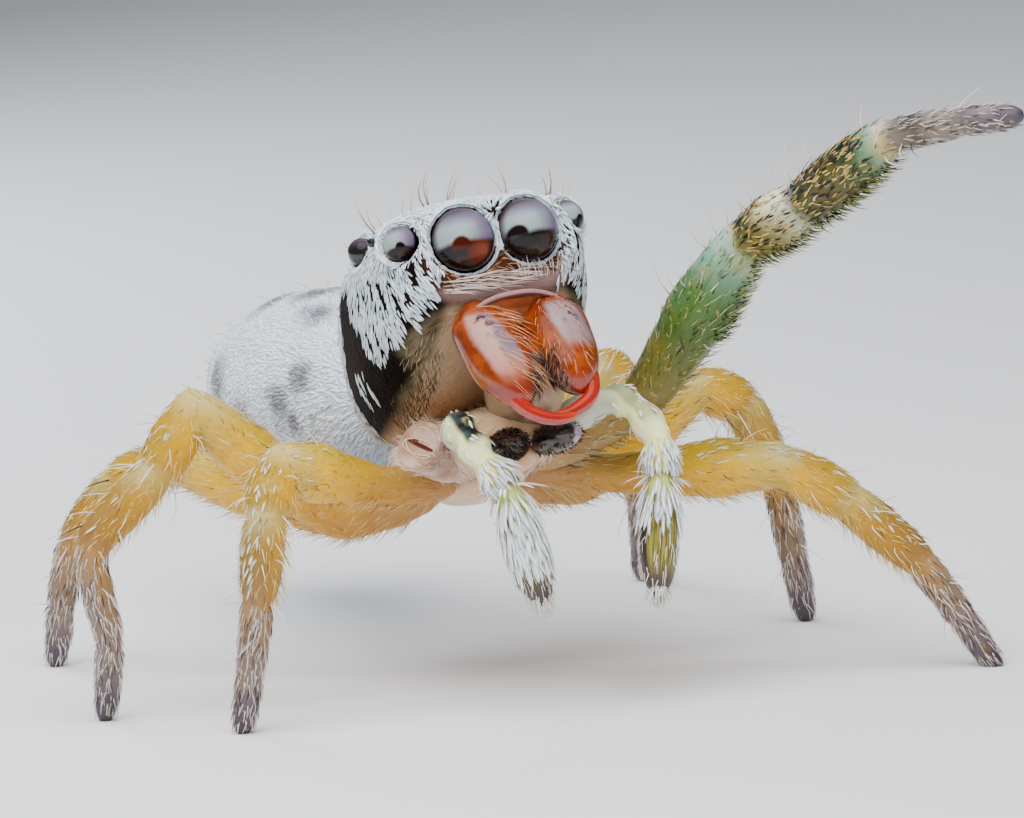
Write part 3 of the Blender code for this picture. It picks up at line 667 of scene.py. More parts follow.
def sink_sockets(shape):
    """Sinks the skin behind each lens' widest ring, and lets it rise again outside the lens."""
    for name, side, middle, radius, axis in eye_places():
        for vert in shape.verts:
            away = vert.co - middle
            ahead = away.dot(axis)
            off = (away - axis * ahead).length / radius
            if ahead < -0.6 * radius or off > 1.6:
                continue
            outside = min(max((off - 1.0) / 0.24, 0.0), 1.0)
            sunk = min(ahead, -0.10 * radius)
            vert.co += axis * (sunk - ahead) * (1.0 - outside)


def shield_ring(share):
    y, wide, top, bottom = smooth_row(SHIELD, (len(SHIELD) - 1) * share)
    wide, high = max(wide - SHIELD_SUNK, 0.01), max((top - bottom) / 2 - SHIELD_SUNK, 0.01)
    back = Vector((0, 1, 0))
    return ring_place(Vector((0.0, y, (top + bottom) / 2)), back, back, Vector((-1, 0, 0)), wide, high)


shield = tube_by(shield_ring, 84, 112, squareness=2.7)
sink_sockets(shield)
shield_skin = triangles(shield)
print("shield faces:", len(shield.faces))

# %% [markdown]
# ## The cuticle's colours
# On the real animal the cuticle is black on top and fades to olive, brown and beige low on the cheeks,
# where it is nearly clear and finely streaked. The face below the eyes is brown with a pinkish margin.
# Each region is a mask: a soft step along the head's own axes, frayed by noise, that mixes in one more
# colour. Masks follow the anatomy and need no painted picture.

# %% Paint the shield


def body_place(finish):
    """The place in the head's own frame, in millimetres."""
    where = finish.where()
    inputs = {0: where, 1: SHIFT + BODY.translation}
    shifted = where.node("ShaderNodeVectorMath", inputs, operation="SUBTRACT")
    turns = BODY.inverted().to_euler("XYZ")
    turned = shifted.node("ShaderNodeMapping", {"Vector": shifted, "Rotation": turns})
    return turned, turned.split()


def shield_finish():
    finish = Finish("black_cuticle", "scaled_shell", Roughness=0.6, Specular_IOR_Level=0.03,
                    Subsurface_Weight=0.1, Subsurface_Scale=0.0001)
    place, (x, y, z) = body_place(finish)
    cloud = finish.noise(place, 3.0, 4.0)
    slope = z + y * 0.378
    low = slope + (cloud - 0.5) * 0.12
    beige = low.ramp(-0.20, -0.38) * (y * -1.0).ramp(0.1, 0.6)
    olive = low.ramp(0.05, -0.04) * (y * -1.0).ramp(0.20, 0.45)
    grain = finish.grain(x * 3.0, y * 2.5 - z * 3.0, slope * 50.0, detail=3.0)
    streak = grain.ramp(0.50, 0.64) * (olive - beige * 0.45)
    side = finish.lay()[0].from_middle() + (cloud - 0.5) * 0.03
    behind = (y * -1.0 + (cloud - 0.5) * 0.2).ramp(0.84, 0.66)
    edge = side.ramp(0.29, 0.32) * side.ramp(0.385, 0.36) * behind
    below = side.ramp(0.37, 0.41) * (y * -1.0).ramp(1.30, 1.22)
    spotted = cloud.ramp(0.35, 0.7).mix(tone(11, 9, 9), tone(34, 22, 15))
    face = (y * -1.0).ramp(1.24, 1.34) * z.ramp(0.98, 0.90)
    brown = face.mix(spotted, cloud.ramp(0.3, 0.7).mix(tone(44, 24, 18), tone(88, 50, 32)))
    margin = z.ramp(0.66, 0.58) * face
    pinkish = margin.mix(brown, tone(138, 112, 108))
    fine = finish.noise(place, 13.0, 4.0)
    olived = olive.mix(pinkish, cloud.ramp(0.3, 0.7).mix(tone(84, 76, 56), tone(134, 120, 98)))
    faded = beige.mix(olived, cloud.ramp(0.40, 0.60).mix(tone(168, 142, 114), tone(124, 108, 86)))
    mottled = (fine.ramp(0.45, 0.62) * olive * 0.45).mix(faded, tone(96, 82, 60))
    streaked = (streak * 0.8).mix(mottled, tone(40, 34, 18))
    edged = edge.mix(streaked, tone(14, 12, 10))
    finish.drive("Base Color", below.mix(edged, tone(166, 138, 110)))
    folds = finish.noise(place, 7.0, 4.0) * 2.5 * olive
    finish.bump(finish.noise(place, 30.0, 4.0) + grain * 0.8 + folds, 0.02, 0.7)
    return finish


bmesh.ops.transform(shield, matrix=BODY, verts=shield.verts)
finish_piece("head_shield", shield, shield_finish(), ["carapace"])

# %% [markdown]
# ## Eight eyes
# A jumping spider's front middle eyes are long tubes behind a big fixed lens. From outside they are
# deep glossy domes. Their colour carries a painted reflection, a lilac and grey-green sheen above,
# painted shade in a dark well in the middle where the tube looks at us, a painted orange glow low in
# one of them, and brown below. A sphere keeps the gloss honest. Each lens stores, in its UV map, how
# far a point lies to the side of the lens' axis and above it, and the painted reflection, shade and
# glow are laid out on those two. The rear and the small eyes look sideways, so from the front they are
# dark, with only a faint painted reflection on top.

# %% Lenses


def lens_finish(name, glow, middle_side, middle_up, sheen_low):
    finish = Finish(name, "eye_lens", Roughness=0.2, Coat_Weight=0.3, Coat_Roughness=0.05,
                    Specular_IOR_Level=0.12)
    side, up = finish.lay()
    side, up = (side - 0.5) * 2.0, (up - 0.5) * 2.0
    radius = (side * side + up * up).math("SQRT")
    cloud = finish.noise(finish.where(), 9.0, 3.0)
    # The sheen is a painted reflection of the large soft light above, lilac towards one side.
    painted_sheen = up.ramp(-0.10, 0.95).colours(
        (0.0, tone(136, 148, 148)), (1.0, tone(66, 54, 66)), (0.35, tone(136, 146, 152)),
        (0.68, tone(108, 108, 122)),
    )
    painted_sheen_lilac = (side * 0.8 + cloud * 0.3).ramp(0.0, 0.7).mix(painted_sheen, tone(100, 88, 112))
    murky = cloud.ramp(0.35, 0.65).mix(tone(24, 17, 14), tone(50, 41, 33))
    # Just under the painted reflection's lower edge the lens is darkest, and murky brown further down.
    under = up.ramp(-0.45, -0.75).mix(tone(16, 11, 10), murky)
    # A painted glow: orange light painted low in the lens, as strong as glow says.
    painted_glow = ((side - 0.32) * (side - 0.32) + (up + 0.52) * (up + 0.52)).math("SQRT").ramp(0.60, 0.05)
    lower = (painted_glow * glow * (0.6 + cloud * 0.6)).mix(under, tone(116, 40, 6))
    # edge is where the painted reflection ends below.
    edge = (up + side * side * 0.10 + cloud * 0.10).ramp(sheen_low - 0.04, sheen_low + 0.16)
    painted = edge.mix(lower, painted_sheen_lilac)
    # The well is painted shade: the dark inside of the eye's tube, seen through the lens.
    off = side - middle_side
    well_shade = (off * off + (up - middle_up) * (up - middle_up)).math("SQRT").ramp(0.33, 0.22)
    below = off.math("ABSOLUTE").ramp(0.33, 0.22) * up.ramp(middle_up + 0.02, middle_up)
    well_shade = well_shade.math("MAXIMUM", below) * up.ramp(middle_up - 0.26, middle_up + 0.02)
    # Where the glow is strong, the painted glow tints the well's painted shade red.
    deep = tuple(dark + (red - dark) * glow * 0.9 for dark, red in zip(tone(10, 8, 9), tone(66, 16, 6)))
    with_well_shade = well_shade.mix(painted, deep)
    rim = (radius + side * 0.05).ramp(0.80, 0.95)
    finish.drive("Base Color", rim.mix(with_well_shade, tone(34, 11, 11)))
    return finish


def dark_lens_finish():
    """The rear and small eyes look sideways, and from the front they show only a faint painted reflection, lighter
    towards the top.
    """
    finish = Finish("lens_dark", "eye_lens", Roughness=0.18, Coat_Weight=0.5, Coat_Roughness=0.05)
    up = (finish.lay()[1] - 0.5) * 2.0
    # Lighter towards the top: a faint painted reflection of the light above.
    finish.drive("Base Color", up.ramp(-0.2, 0.9).mix(tone(20, 15, 15), tone(74, 62, 72)))
    return finish


LENS_SWELL = 1.005


def make_lens(name, side, middle, radius, axis, finish):
    shape = bmesh.new()
    fine = 64 if radius > 0.1 else 20
    bmesh.ops.create_uvsphere(
        shape, u_segments=fine, v_segments=fine // 2, radius=radius * LENS_SWELL)
    upward = perpendicular(Vector((0, 0, 1)), axis)
    across = upward.cross(axis)
    lay = shape.loops.layers.uv.new("Lay")
    for face in shape.faces:
        for loop in face.loops:
            out = loop.vert.co / radius
            loop[lay].uv = (0.5 + 0.5 * out.dot(across), 0.5 + 0.5 * out.dot(upward))
    bmesh.ops.transform(shape, matrix=BODY @ Matrix.Translation(middle), verts=shape.verts)
    return finish_piece(f"lens_{name}_{side}", shape, finish, [f"eye_{name}_{side}"])


# Each lens takes the strength of its painted glow, the side and height of its well's painted shade, and where its
# painted reflection ends below.
LENS_FINISHES = {
    ("front_middle", "right"): lens_finish("lens_amber", 0.95, -0.29, -0.27, -0.16),
    ("front_middle", "left"): lens_finish("lens_green", 0.10, -0.64, -0.19, -0.18),
    ("front_side", "right"): lens_finish("lens_side", 0.08, 0.07, -0.43, -0.38),
}
LENS_FINISHES["front_side", "left"] = LENS_FINISHES["front_side", "right"]
lens_dark = dark_lens_finish()
for name, side, middle, radius, axis in eye_places():
    finish = LENS_FINISHES.get((name, side), lens_dark)
    make_lens(name, side, middle, radius, axis, finish)
print("lenses:", 2 * len(EYES))

# %% [markdown]
# ## White scales on the head
# The white of the head isn't skin colour: it is a coat of flat, pointed scales, each a tenth of a
# millimetre long, lying over black cuticle that shows between them. They stop along a slanting edge
# low on the cheek, leave a black band behind it, and make a neat wreath round every eye.

# %% Where the scales grow and which way they lie


def near_eye(places, margin, pair=None):
    """True where a place lies inside an eye's opening, of any eye or of one pair only."""
    inside = np.zeros(len(places), bool)
    for name, side, middle, radius, axis in eye_places():
        if pair not in (None, name):
            continue
        away = places - np.array(middle)
        ahead = away @ np.array(axis)
        off = np.linalg.norm(away - ahead[:, None] * np.array(axis), axis=1)
        inside |= (off < radius * margin) & (ahead > -0.5 * radius)
    return inside


def smooth_step(values, low, high):
    t = np.clip((values - low) / (high - low), 0.0, 1.0)
    return t * t * (3 - 2 * t)


FULL_TURN = 6.28


def waver(places, scale, seed):
    """A cheap smooth wave over the body, from -1 to 1, that breaks up straight edges."""
    draw = np.random.default_rng(seed)
    total = np.zeros(len(places))
    for _ in range(5):
        way = draw.normal(size=3) * scale
        total += np.sin(places @ way + draw.uniform(0, FULL_TURN))
    return total / 3.0


def head_cover(places, lay):
    x, y, z = places.T
    wave = waver(places, 9.0, 3)
    cheek_low = 0.30 - 0.42 * (y + 0.44) - 0.12
    side = smooth_step(z, cheek_low + 0.02 + 0.03 * wave, cheek_low + 0.06 + 0.03 * wave)
    band = smooth_step(y - 0.35 * (z - 0.5) + 0.05 * wave, -0.36, -0.28)
    band = band * smooth_step(z + 0.06 * wave, 0.98, 0.88)
    streaks = (z > 0.02) & (z < 0.26) & (np.abs(y + 0.06) < 0.12) & (np.sin(y * 75) > 0.0)
    rear = smooth_step(y + 0.25 * (z - 0.4) + 0.06 * wave, 0.16, 0.34) * smooth_step(z, -0.22, -0.12)
    cover = np.maximum(side * (1 - band), np.maximum(0.9 * streaks, 0.85 * rear))
    reach = 0.42 + 0.08 * (x < 0) * smooth_step(z, 0.85, 0.68)
    face = (y < -1.17) & (z < 0.95) & (np.abs(x) < reach + 0.03 * wave)
    cover = np.where(face, 0.0, cover)
    gaps = smooth_step(waver(places * np.array((1.0, 1.0, 0.4)), 34.0, 8), 0.05, 0.45)
    gaps = gaps * smooth_step(z, 0.98, 0.86)
    cover = cover * (1 - 0.95 * gaps)
    return np.where(near_eye(places, 1.07) | near_eye(places, 1.14, "front_side"), 0.0, cover)


def head_lie(places):
    """Back over the top, down the cheeks, and slanting forwards near the face."""
    x, y, z = places.T
    sideways = np.maximum(smooth_step(z, 1.15, 0.85), smooth_step(np.abs(x), 0.40, 0.46) * (y < -0.9))
    slant = smooth_step(-y, 0.5, 1.2)
    brow = (y < -0.9) & (np.abs(x) > 0.10)
    top = np.stack([np.where(brow, 1.2 * np.sign(x), 0.25 * x), np.where(brow, 0.4, 1.0), 0 * x], axis=1)
    down = np.stack([0.15 * np.sign(x), -0.75 * slant + 0.12, -1.0 + 0.25 * slant], axis=1)
    return top * (1 - sideways)[:, None] + down * sideways[:, None]


def white_scale_finish(name, slot, root_tone, tip_tone):
    finish = Finish(name, slot, Roughness=0.5, Specular_IOR_Level=0.35, Subsurface_Weight=0.25,
                    Subsurface_Scale=0.00003)
    tip = finish.attribute("tip")
    luck = finish.attribute("luck")
    shade = (luck * 0.9 + tip * 0.1).ramp(0.0, 1.0).mix(root_tone, tip_tone)
    # Each scale is greyer at its root: painted shade where its root lies under its neighbours.
    finish.drive("Base Color", tip.ramp(0.0, 0.40).mix(tone(136, 142, 156), shade))
    return finish


white_scales = white_scale_finish(
    "white_scales", "scaled_shell", tone(190, 202, 214), tone(246, 247, 251))


def on_top(places):
    return smooth_step(places[:, 2], 0.95, 1.15)


THIRDS = (("front", -2.0, -0.80), ("middle", -0.80, -0.20), ("rear", -0.20, 2.0))
for number, (third, ahead, behind) in enumerate(THIRDS):
    dress(f"head_scales_{third}", shield_skin,
          lambda p, lay: head_cover(p, lay) * ((p[:, 1] >= ahead) & (p[:, 1] < behind)),
          (34000, 21 + number, 0.0175), lambda p, lay: head_lie(p), white_scales,
          (lambda p, lay: 0.086 - 0.006 * on_top(p), lambda p, lay: 0.019 + 0.004 * on_top(p), 0.005),
          (lambda p, lay: 10.0 - 4.0 * on_top(p), 1.0), 25 + number, 10.0, hair=False, head_skin=True)

# %% [markdown]
# ## Wreaths round the eyes
# A neat rim of scales lies round each of the six larger eyes, in three rows like the petals of a
# daisy that all lean the same way round. Sowing would leave holes in so thin a line, so these roots
# are counted off along circles about the lens' axis.

# %% Wreaths of scales


def make_wreaths():
    places, outward, lie, length = [], [], [], []
    draw = np.random.default_rng(31)
    for name, side, middle, radius, axis in eye_places():
        if name == "small":
            continue
        count = int(2 * math.pi * radius / 0.016)
        across = axis.orthogonal().normalized()
        upward = axis.cross(across)
        for row in range(3):
            for k in range(count):
                angle = 2 * math.pi * (k + 0.5 * row + draw.uniform(-0.3, 0.3)) / count
                out = across * math.cos(angle) + upward * math.sin(angle)
                round_way = upward * math.cos(angle) - across * math.sin(angle)
                ahead = (0.16, 0.20, 0.18)[row]
                places.append(middle + axis * radius * ahead + out * (radius + 0.016 + 0.013 * row))
                outward.append((axis + out * (0.1 + 0.3 * row)).normalized())
                lie.append(out * (0.02 + 0.10 * row) + round_way * (1.0 if side == "left" else -1.0))
                length.append(0.055 + 0.008 * row)
    places, outward, lie = (np.array(rows) for rows in (places, outward, lie))
    lay = np.zeros((len(places), 2))
    lay[:, 0] = np.linspace(0.0, 0.99, len(places))
    coat("eye_wreaths", to_solids((places, outward, lay)), head_ways(lie), white_scales,
         np.array(length), 0.020, 0.012, 5.0, 0.0, 32, spread=6.0)


make_wreaths()

# %% [markdown]
# ## Bristles of the head
# Thin curved bristles stand in clusters on the brow and crown. A fringe of fine pale hairs grows on the
# lower edge of the face: on one side it is swept sideways, and near the middle it stands up. Brown
# hair grows between the eyes and the fringe. Down and a dusky band of short dark hairs cover the bare
# cheeks. They are all sown on the shield, each with a cover and a lie of its own.

# %% Crown bristles and the face's fringe


def pale_hair_finish(name, slot, low, high):
    finish = Finish(name, slot, Roughness=0.35, Subsurface_Weight=0.2, Subsurface_Scale=0.00003)
    finish.drive("Base Color", finish.attribute("luck").mix(low, high))
    return finish


def hair_tone(name, slot, low, high, dark, dark_share):
    """Pale hair with a share of dark ones, told apart by each hair's own luck."""
    finish = Finish(name, slot, Roughness=0.38, Subsurface_Weight=0.15, Subsurface_Scale=0.00003)
    luck = finish.attribute("luck")
    pale = luck.mix(low, high)
    finish.drive("Base Color", luck.ramp(dark_share + 0.01, dark_share - 0.01).mix(pale, dark))
    return finish


pale_bristles = pale_hair_finish(
    "pale_bristles", "scaled_shell", tone(176, 164, 158), tone(240, 234, 228))
brown_bristles = pale_hair_finish(
    "brown_bristles", "scaled_shell", tone(122, 96, 76), tone(206, 184, 166))
rosy_hair = pale_hair_finish("rosy_hair", "scaled_shell", tone(206, 178, 168), tone(246, 232, 226))
brown_hair = hair_tone(
    "brown_hair", "scaled_shell", tone(120, 78, 48), tone(186, 140, 104), tone(34, 22, 18), 0.55)
cheek_down = pale_hair_finish("cheek_down", "scaled_shell", tone(150, 124, 88), tone(220, 200, 168))
dusky_hair = hair_tone(
    "dusky_hair", "scaled_shell", tone(30, 27, 18), tone(78, 70, 46), tone(18, 16, 12), 0.4)


def crown_cover(places, lay):
    x, y, z = places.T
    clusters = smooth_step(waver(places, 5.0, 43), -0.2, 0.3)
    bare = near_eye(places, 1.15) | (z < 1.08) | (y > 0.2)
    return only(~bare, np.where(y < -0.5, clusters, 0.25))


def crown_lie(places, lay):
    x = places[:, 0]
    return np.stack([np.where(x < 0.25, 0.9, -0.4), 0.3 - 0.2 * np.abs(x), 0 * x], axis=1)


def face_cover(places, lay):
    x, y, z = places.T
    return only((y < -1.22) & (np.abs(x) < 0.50) & (z < 0.675) & (z > 0.585))


def fringe_lie(places, lay):
    swept = only(places[:, 0] < 0.10)
    return np.stack([swept - (1 - swept) * 0.15, 0 * swept - 0.1, -0.12 * swept + 0.8 * (1 - swept)], axis=1)


def brow_cover(places, lay):
    x, y, z = places.T
    return only((y < -1.15) & (np.abs(x) < 0.50) & (z < 0.93) & (z > 0.62) & ~near_eye(places, 1.12), 0.9)


def cheek_cover(places, lay):
    x, y, z = places.T
    return only((y < -0.66) & (z + 0.378 * y < -0.06) & (z < 0.5) & (np.abs(x) > 0.42), 0.5)


def cheek_band(places, lay):
    """A dusky band that slants from the jaws' root down and back along the cheek."""
    x, y, z = places.T
    slope = z + 0.378 * y + 0.03 * waver(places, 9.0, 3)
    cover = smooth_step(slope, -0.36, -0.28) * smooth_step(slope, -0.12, -0.22)
    return only((y < 0.0) & (np.abs(x) > 0.45), cover)


def fringe_length(places, lay):
    return np.where(places[:, 0] < 0.10, 0.22, 0.10)


dress("crown_bristles", shield_skin, crown_cover, (900, 41, 0.075), crown_lie, brown_bristles,
      (0.26, 0.0125, 0.0125), (84.0, 40.0), 42, 18.0, head_skin=True)
dress("face_fringe", shield_skin, face_cover, (26000, 51, 0.030), fringe_lie, rosy_hair,
      (fringe_length, 0.0072, 0.0065), (12.0, 2.0), 52, 9.0, head_skin=True)
dress("brow_hair", shield_skin, brow_cover, (40000, 53, 0.026), (0.8, -0.1, -0.45), brown_hair,
      (0.085, 0.008, 0.007), (12.0, 2.0), 54, 14.0, head_skin=True)
dress("cheek_down", shield_skin, cheek_cover, (16000, 55, 0.055), (0.0, -0.8, 0.35), cheek_down,
      (0.11, 0.0045, 0.004), (7.0, 1.0), 56, 9.0, head_skin=True)
dress("cheek_streaks", shield_skin, cheek_band, (30000, 57, 0.030), (0.0, 0.5, -0.8), dusky_hair,
      (0.10, 0.0065, 0.005), (5.0, 1.0), 58, 14.0, head_skin=True)

# %% [markdown]
# ## Jaws
# The two jaws are stout amber barrels with clear, wet cuticle, so they take a strong coat of gloss over
# a little light scattered inside. Their fronts carry a broad milky sheen, a reflection painted into
# their colour. A barrel could be a sphere pulled long, but a tube keeps its ends, its girth and the lay
# for its colours under control.

# %% Jaws
JAW_ENDS = {
    "left": (Vector((0.272, -1.27, 0.475)), Vector((0.265, -1.635, -0.32))),
    "right": (Vector((-0.272, -1.27, 0.485)), Vector((-0.180, -1.66, -0.37))),
}
JAW_SWELL = ((0.0, 0.76), (0.2, 0.98), (0.45, 1.02), (0.7, 0.98), (0.87, 0.86), (1.0, 0.70))


def swell_at(table, share):
    """A smooth radius along a piece, from a table of shares and radii."""
    shares, radii = zip(*table)
    knots = np.interp(share, shares, range(len(table)))
    return smooth_row([(r,) for r in radii], float(knots))[0]


def head_piece(name, shape, finish, nodes=()):
    """Moves a piece from the head's frame to the animal's and finishes it."""
    bmesh.ops.transform(shape, matrix=BODY, verts=shape.verts)
    return under_skin(name, shape, finish, nodes)


def amber_finish(name, sheen_turn, sheen_half, sheen_end, inner_turn, high, low):
    """The painted sheen, a reflection painted into the colour, lies about one turn round the jaw. The dark tuft
    grows about another, low down.
    """
    finish = Finish(
        name, "amber_cuticle", Roughness=0.25, Coat_Weight=0.6, Coat_Roughness=0.06,
        Subsurface_Weight=0.12, Subsurface_Scale=0.0001, Subsurface_Radius=(1.0, 0.35, 0.12))
    turn, along = finish.lay()
    cloud = finish.noise(finish.where(), 5.0, 4.0)
    amber = cloud.ramp(0.3, 0.75).mix(tone(108, 34, 0), tone(152, 66, 0))
    grainy = finish.noise(finish.where(), 14.0, 4.0).ramp(0.46, 0.62)
    mottled = (grainy * 0.55).mix(amber, tone(84, 26, 4))
    deep = along.ramp(0.66, 1.0).mix(mottled, tone(140, 26, 0))
    # The painted sheen: a broad reflection of the soft light, painted down the jaw's front.
    off = (turn + (along - 0.4) * 0.10).from_middle(sheen_turn) + (cloud - 0.5) * 0.07
    painted_sheen = off.ramp(sheen_half + 0.02, sheen_half - 0.02) * along.ramp(0.08, 0.15)
    painted_sheen = painted_sheen * (along + (cloud - 0.5) * 0.2).ramp(sheen_end, sheen_end - 0.18)
    # The painted sheen's tone runs from high at the top to low further down, and greys towards one side.
    pinkish = along.ramp(0.3, 0.8).mix(high, low)
    painted_sheen_grey = ((turn - sheen_turn) * -1.0 + (cloud - 0.5) * 0.08).ramp(-0.01, 0.03)
    painted_sheen_grey = painted_sheen_grey * along.ramp(0.66, 0.42)
    painted_sheen_tone = painted_sheen_grey.mix(pinkish, tone(124, 110, 122))
    sheened = (painted_sheen * 0.88).mix(deep, painted_sheen_tone)
    specks = finish.noise(finish.where(), 15.0, 3.0).ramp(0.52, 0.58)
    flecks = specks * turn.from_middle(sheen_turn + 0.01).ramp(0.06, 0.03) * along.ramp(0.40, 0.2)
    flecked = (flecks * along.ramp(0.09, 0.16)).mix(sheened, tone(64, 38, 46))
    smoky = turn.from_middle(inner_turn).ramp(0.15, 0.03) * along.ramp(0.45, 0.72)
    finish.drive("Base Color", (smoky * 0.85).mix(flecked, tone(70, 38, 22)))
    finish.bump(finish.noise(finish.where(), 30.0, 2.0), 0.006, 0.35)
    return finish


def make_jaw(top, tip):
    down = Vector((0, 0, -1))

    def ring(t):
        dome = math.sqrt(max(0.0, 1.0 - max(0.0, 1.0 - t / 0.30) ** 2.2))
        close = math.sqrt(max(0.0, 1.0 - max(0.0, (t - 0.52) / 0.48) ** 2.3))
        size = max(0.04, swell_at(JAW_SWELL, t) * dome * close)
        middle = top.lerp(tip, t) + Vector((0, 0, 0.04 * (1 - dome)))
        return ring_place(middle, down, down, Vector((1, 0, 0)), 0.245 * size, 0.235 * size)

    return tube_by(ring, 40, 48)


# The numbers place the painted sheen round and along each jaw, then the dark tuft; the two tones are the painted
# sheen's top and bottom.
AMBERS = {
    "left": amber_finish("amber_left", 0.455, 0.085, 0.60, 0.68, tone(146, 130, 136), tone(150, 104, 88)),
    "right": amber_finish("amber_right", 0.535, 0.090, 0.80, 0.34, tone(178, 136, 126), tone(174, 108, 88)),
}
jaw_skins = {
    side: head_piece(f"jaw_{side}", make_jaw(*ends), AMBERS[side], [f"chelicera_{side}"])
    for side, ends in JAW_ENDS.items()
}

# %% [markdown]
# ## Fangs
# Each jaw ends in a thin red fang that bends inwards and crosses the other one, so that the pair makes
# a ring under the jaws. A fang is a tube on a smooth path through six points. Its girth is a second
# table, because a tube lets its path and its girth be set apart.

# %% Bend the fangs
FANG_PATHS = {
    "left": ((0.345, -1.58, -0.10), (0.375, -1.62, -0.21), (0.335, -1.67, -0.34), (0.185, -1.70, -0.425),
             (0.05, -1.71, -0.45), (-0.05, -1.70, -0.45)),
    "right": ((-0.245, -1.57, -0.10), (-0.235, -1.66, -0.25), (-0.170, -1.71, -0.375), (-0.04, -1.745, -0.455),
              (0.09, -1.765, -0.475), (0.17, -1.77, -0.455)),
}
FANG_SWELL = ((0.0, 0.085), (0.2, 0.072), (0.4, 0.056), (0.6, 0.050), (0.85, 0.036), (1.0, 0.012))
fang_red = Finish(
    "fang_red", "fang_cuticle", Roughness=0.16, Coat_Weight=1.0, Coat_Roughness=0.04,
    Subsurface_Weight=0.3, Subsurface_Scale=0.00006, Subsurface_Radius=(1.0, 0.2, 0.1))
fang_red.drive("Base Color", fang_red.lay()[1].colours(
    (0.0, tone(158, 38, 2)), (0.35, tone(162, 24, 3)), (0.7, tone(148, 18, 2)), (1.0, tone(190, 62, 6))
))


def path_tube(path, radius_at, steps, sides, side, dome=True):
    """A tube along a smooth path. Its radius comes from a function of the share along it."""
    last = len(path) - 1

    def ring(t):
        centre, ahead, behind = (
            Vector(smooth_row(path, min(max(t * last + d, 0.0), last))) for d in (0.0, 0.05, -0.05))
        along = (ahead - behind).normalized()
        close = math.sqrt(max(0.0, 1.0 - max(0.0, (t - 0.95) / 0.05) ** 2)) if dome else 1.0
        return ring_place(centre, along, along, side, max(0.003, radius_at(t) * close))

    return tube_by(ring, steps, sides)


for side, path in FANG_PATHS.items():
    fang = path_tube(path, lambda t: swell_at(FANG_SWELL, t), 40, 20, Vector((0, 1, 0)))
    head_piece(f"red_fang_{side}", fang, fang_red, [f"fang_{side}"])

# %% [markdown]
# ## The fold over the jaws
# A soft pinkish fold of skin closes the gap between the face and the jaws, edged by a thin dark line.
# Both are tubes along one arch, and the line's arch is drawn in a little.

# %% Fold and edge
ARCH = (
    (-0.47, -1.27, 0.29), (-0.39, -1.36, 0.38), (-0.20, -1.415, 0.475), (0.0, -1.43, 0.50),
    (0.20, -1.415, 0.48), (0.39, -1.36, 0.39), (0.52, -1.28, 0.20), (0.57, -1.24, 0.00),
)
fold_finish = Finish(
    "face_fold", "pale_cuticle", Roughness=0.3, Coat_Weight=0.4, Coat_Roughness=0.15,
    Subsurface_Weight=0.4, Subsurface_Scale=0.0001, Subsurface_Radius=(1.0, 0.6, 0.5))
ends = fold_finish.lay()[1].from_middle()
ends = ends + (fold_finish.noise(fold_finish.where(), 9.0, 3.0) - 0.5) * 0.2
fold_finish.drive("Base Color", ends.ramp(0.10, 0.34).mix(tone(150, 112, 112), tone(140, 104, 76)))
fold = path_tube(ARCH, lambda t: 0.009 + 0.013 * math.sin(math.pi * t) ** 0.8, 60, 20, Vector((0, 1, 0)))
head_piece("face_fold", fold, fold_finish)
fold_edge = Finish("fold_edge", "dark_cuticle", Roughness=0.35, Base_Color=tone(78, 20, 24))
edge_path = [(x * 0.985, y - 0.014, z - 0.018) for x, y, z in ARCH]
line = path_tube(edge_path, lambda t: 0.009, 60, 10, Vector((0, 1, 0)))
head_piece("fold_edge", line, fold_edge)

# %% [markdown]
# ## The mouth and the soft underside
# Behind the fangs lie two dark hairy plates and a lip. The breastplate and the soft pleats that join
# it to the shield are pale, pinkish and nearly clear. A throat closes the view behind the fangs, and a
# brown base fills the gap between the jaws under the fold. They are all rounded pods: tubes whose
# rings swell and close like an egg's.

# %% Pods


def pod(centre, half, turn=0.0, steps=22, sides=32):
    """A closed egg shape about a middle, longest along the body."""
    along = Matrix.Rotation(math.radians(turn), 3, "Z") @ Vector((0, 1, 0))

    def ring(share):
        angle = math.pi * (0.03 + 0.94 * share)
        middle = Vector(centre) - along * half[1] * math.cos(angle)
        size = math.sin(angle)
        return ring_place(middle, along, along, Vector((-1, 0, 0)), half[0] * size, half[2] * size)

    return tube_by(ring, steps, sides)


def soft_finish(name, slot, pale, rosy, rough=0.34):
    finish = Finish(name, slot, Roughness=rough, Coat_Weight=0.35, Coat_Roughness=0.15,
                    Subsurface_Weight=0.45, Subsurface_Scale=0.00018, Subsurface_Radius=(1.0, 0.6, 0.4))
    place = finish.where()
    cloud = finish.noise(place, 4.0, 4.0)
    finish.drive("Base Color", cloud.ramp(0.3, 0.7).mix(pale, rosy))
    finish.bump(finish.noise(place, 22.0, 3.0), 0.01, 0.4)
    return finish


flesh = soft_finish("rosy_flesh", "pale_cuticle", tone(236, 206, 168), tone(214, 168, 124))
dark_mouth = Finish("dark_mouth", "dark_cuticle", Roughness=0.3, Coat_Weight=0.6, Coat_Roughness=0.1)
place = dark_mouth.where()
cloud = dark_mouth.noise(place, 12.0, 3.0)
clear_end = (place.split()[0] + (cloud - 0.5) * 0.06).ramp(0.13, 0.17)
black = cloud.ramp(0.4, 0.7).mix(tone(16, 13, 14), tone(40, 30, 28))
dark_mouth.drive("Base Color", clear_end.mix(black, tone(176, 156, 178)))
dark_mouth.bump(cloud, 0.02, 0.5)

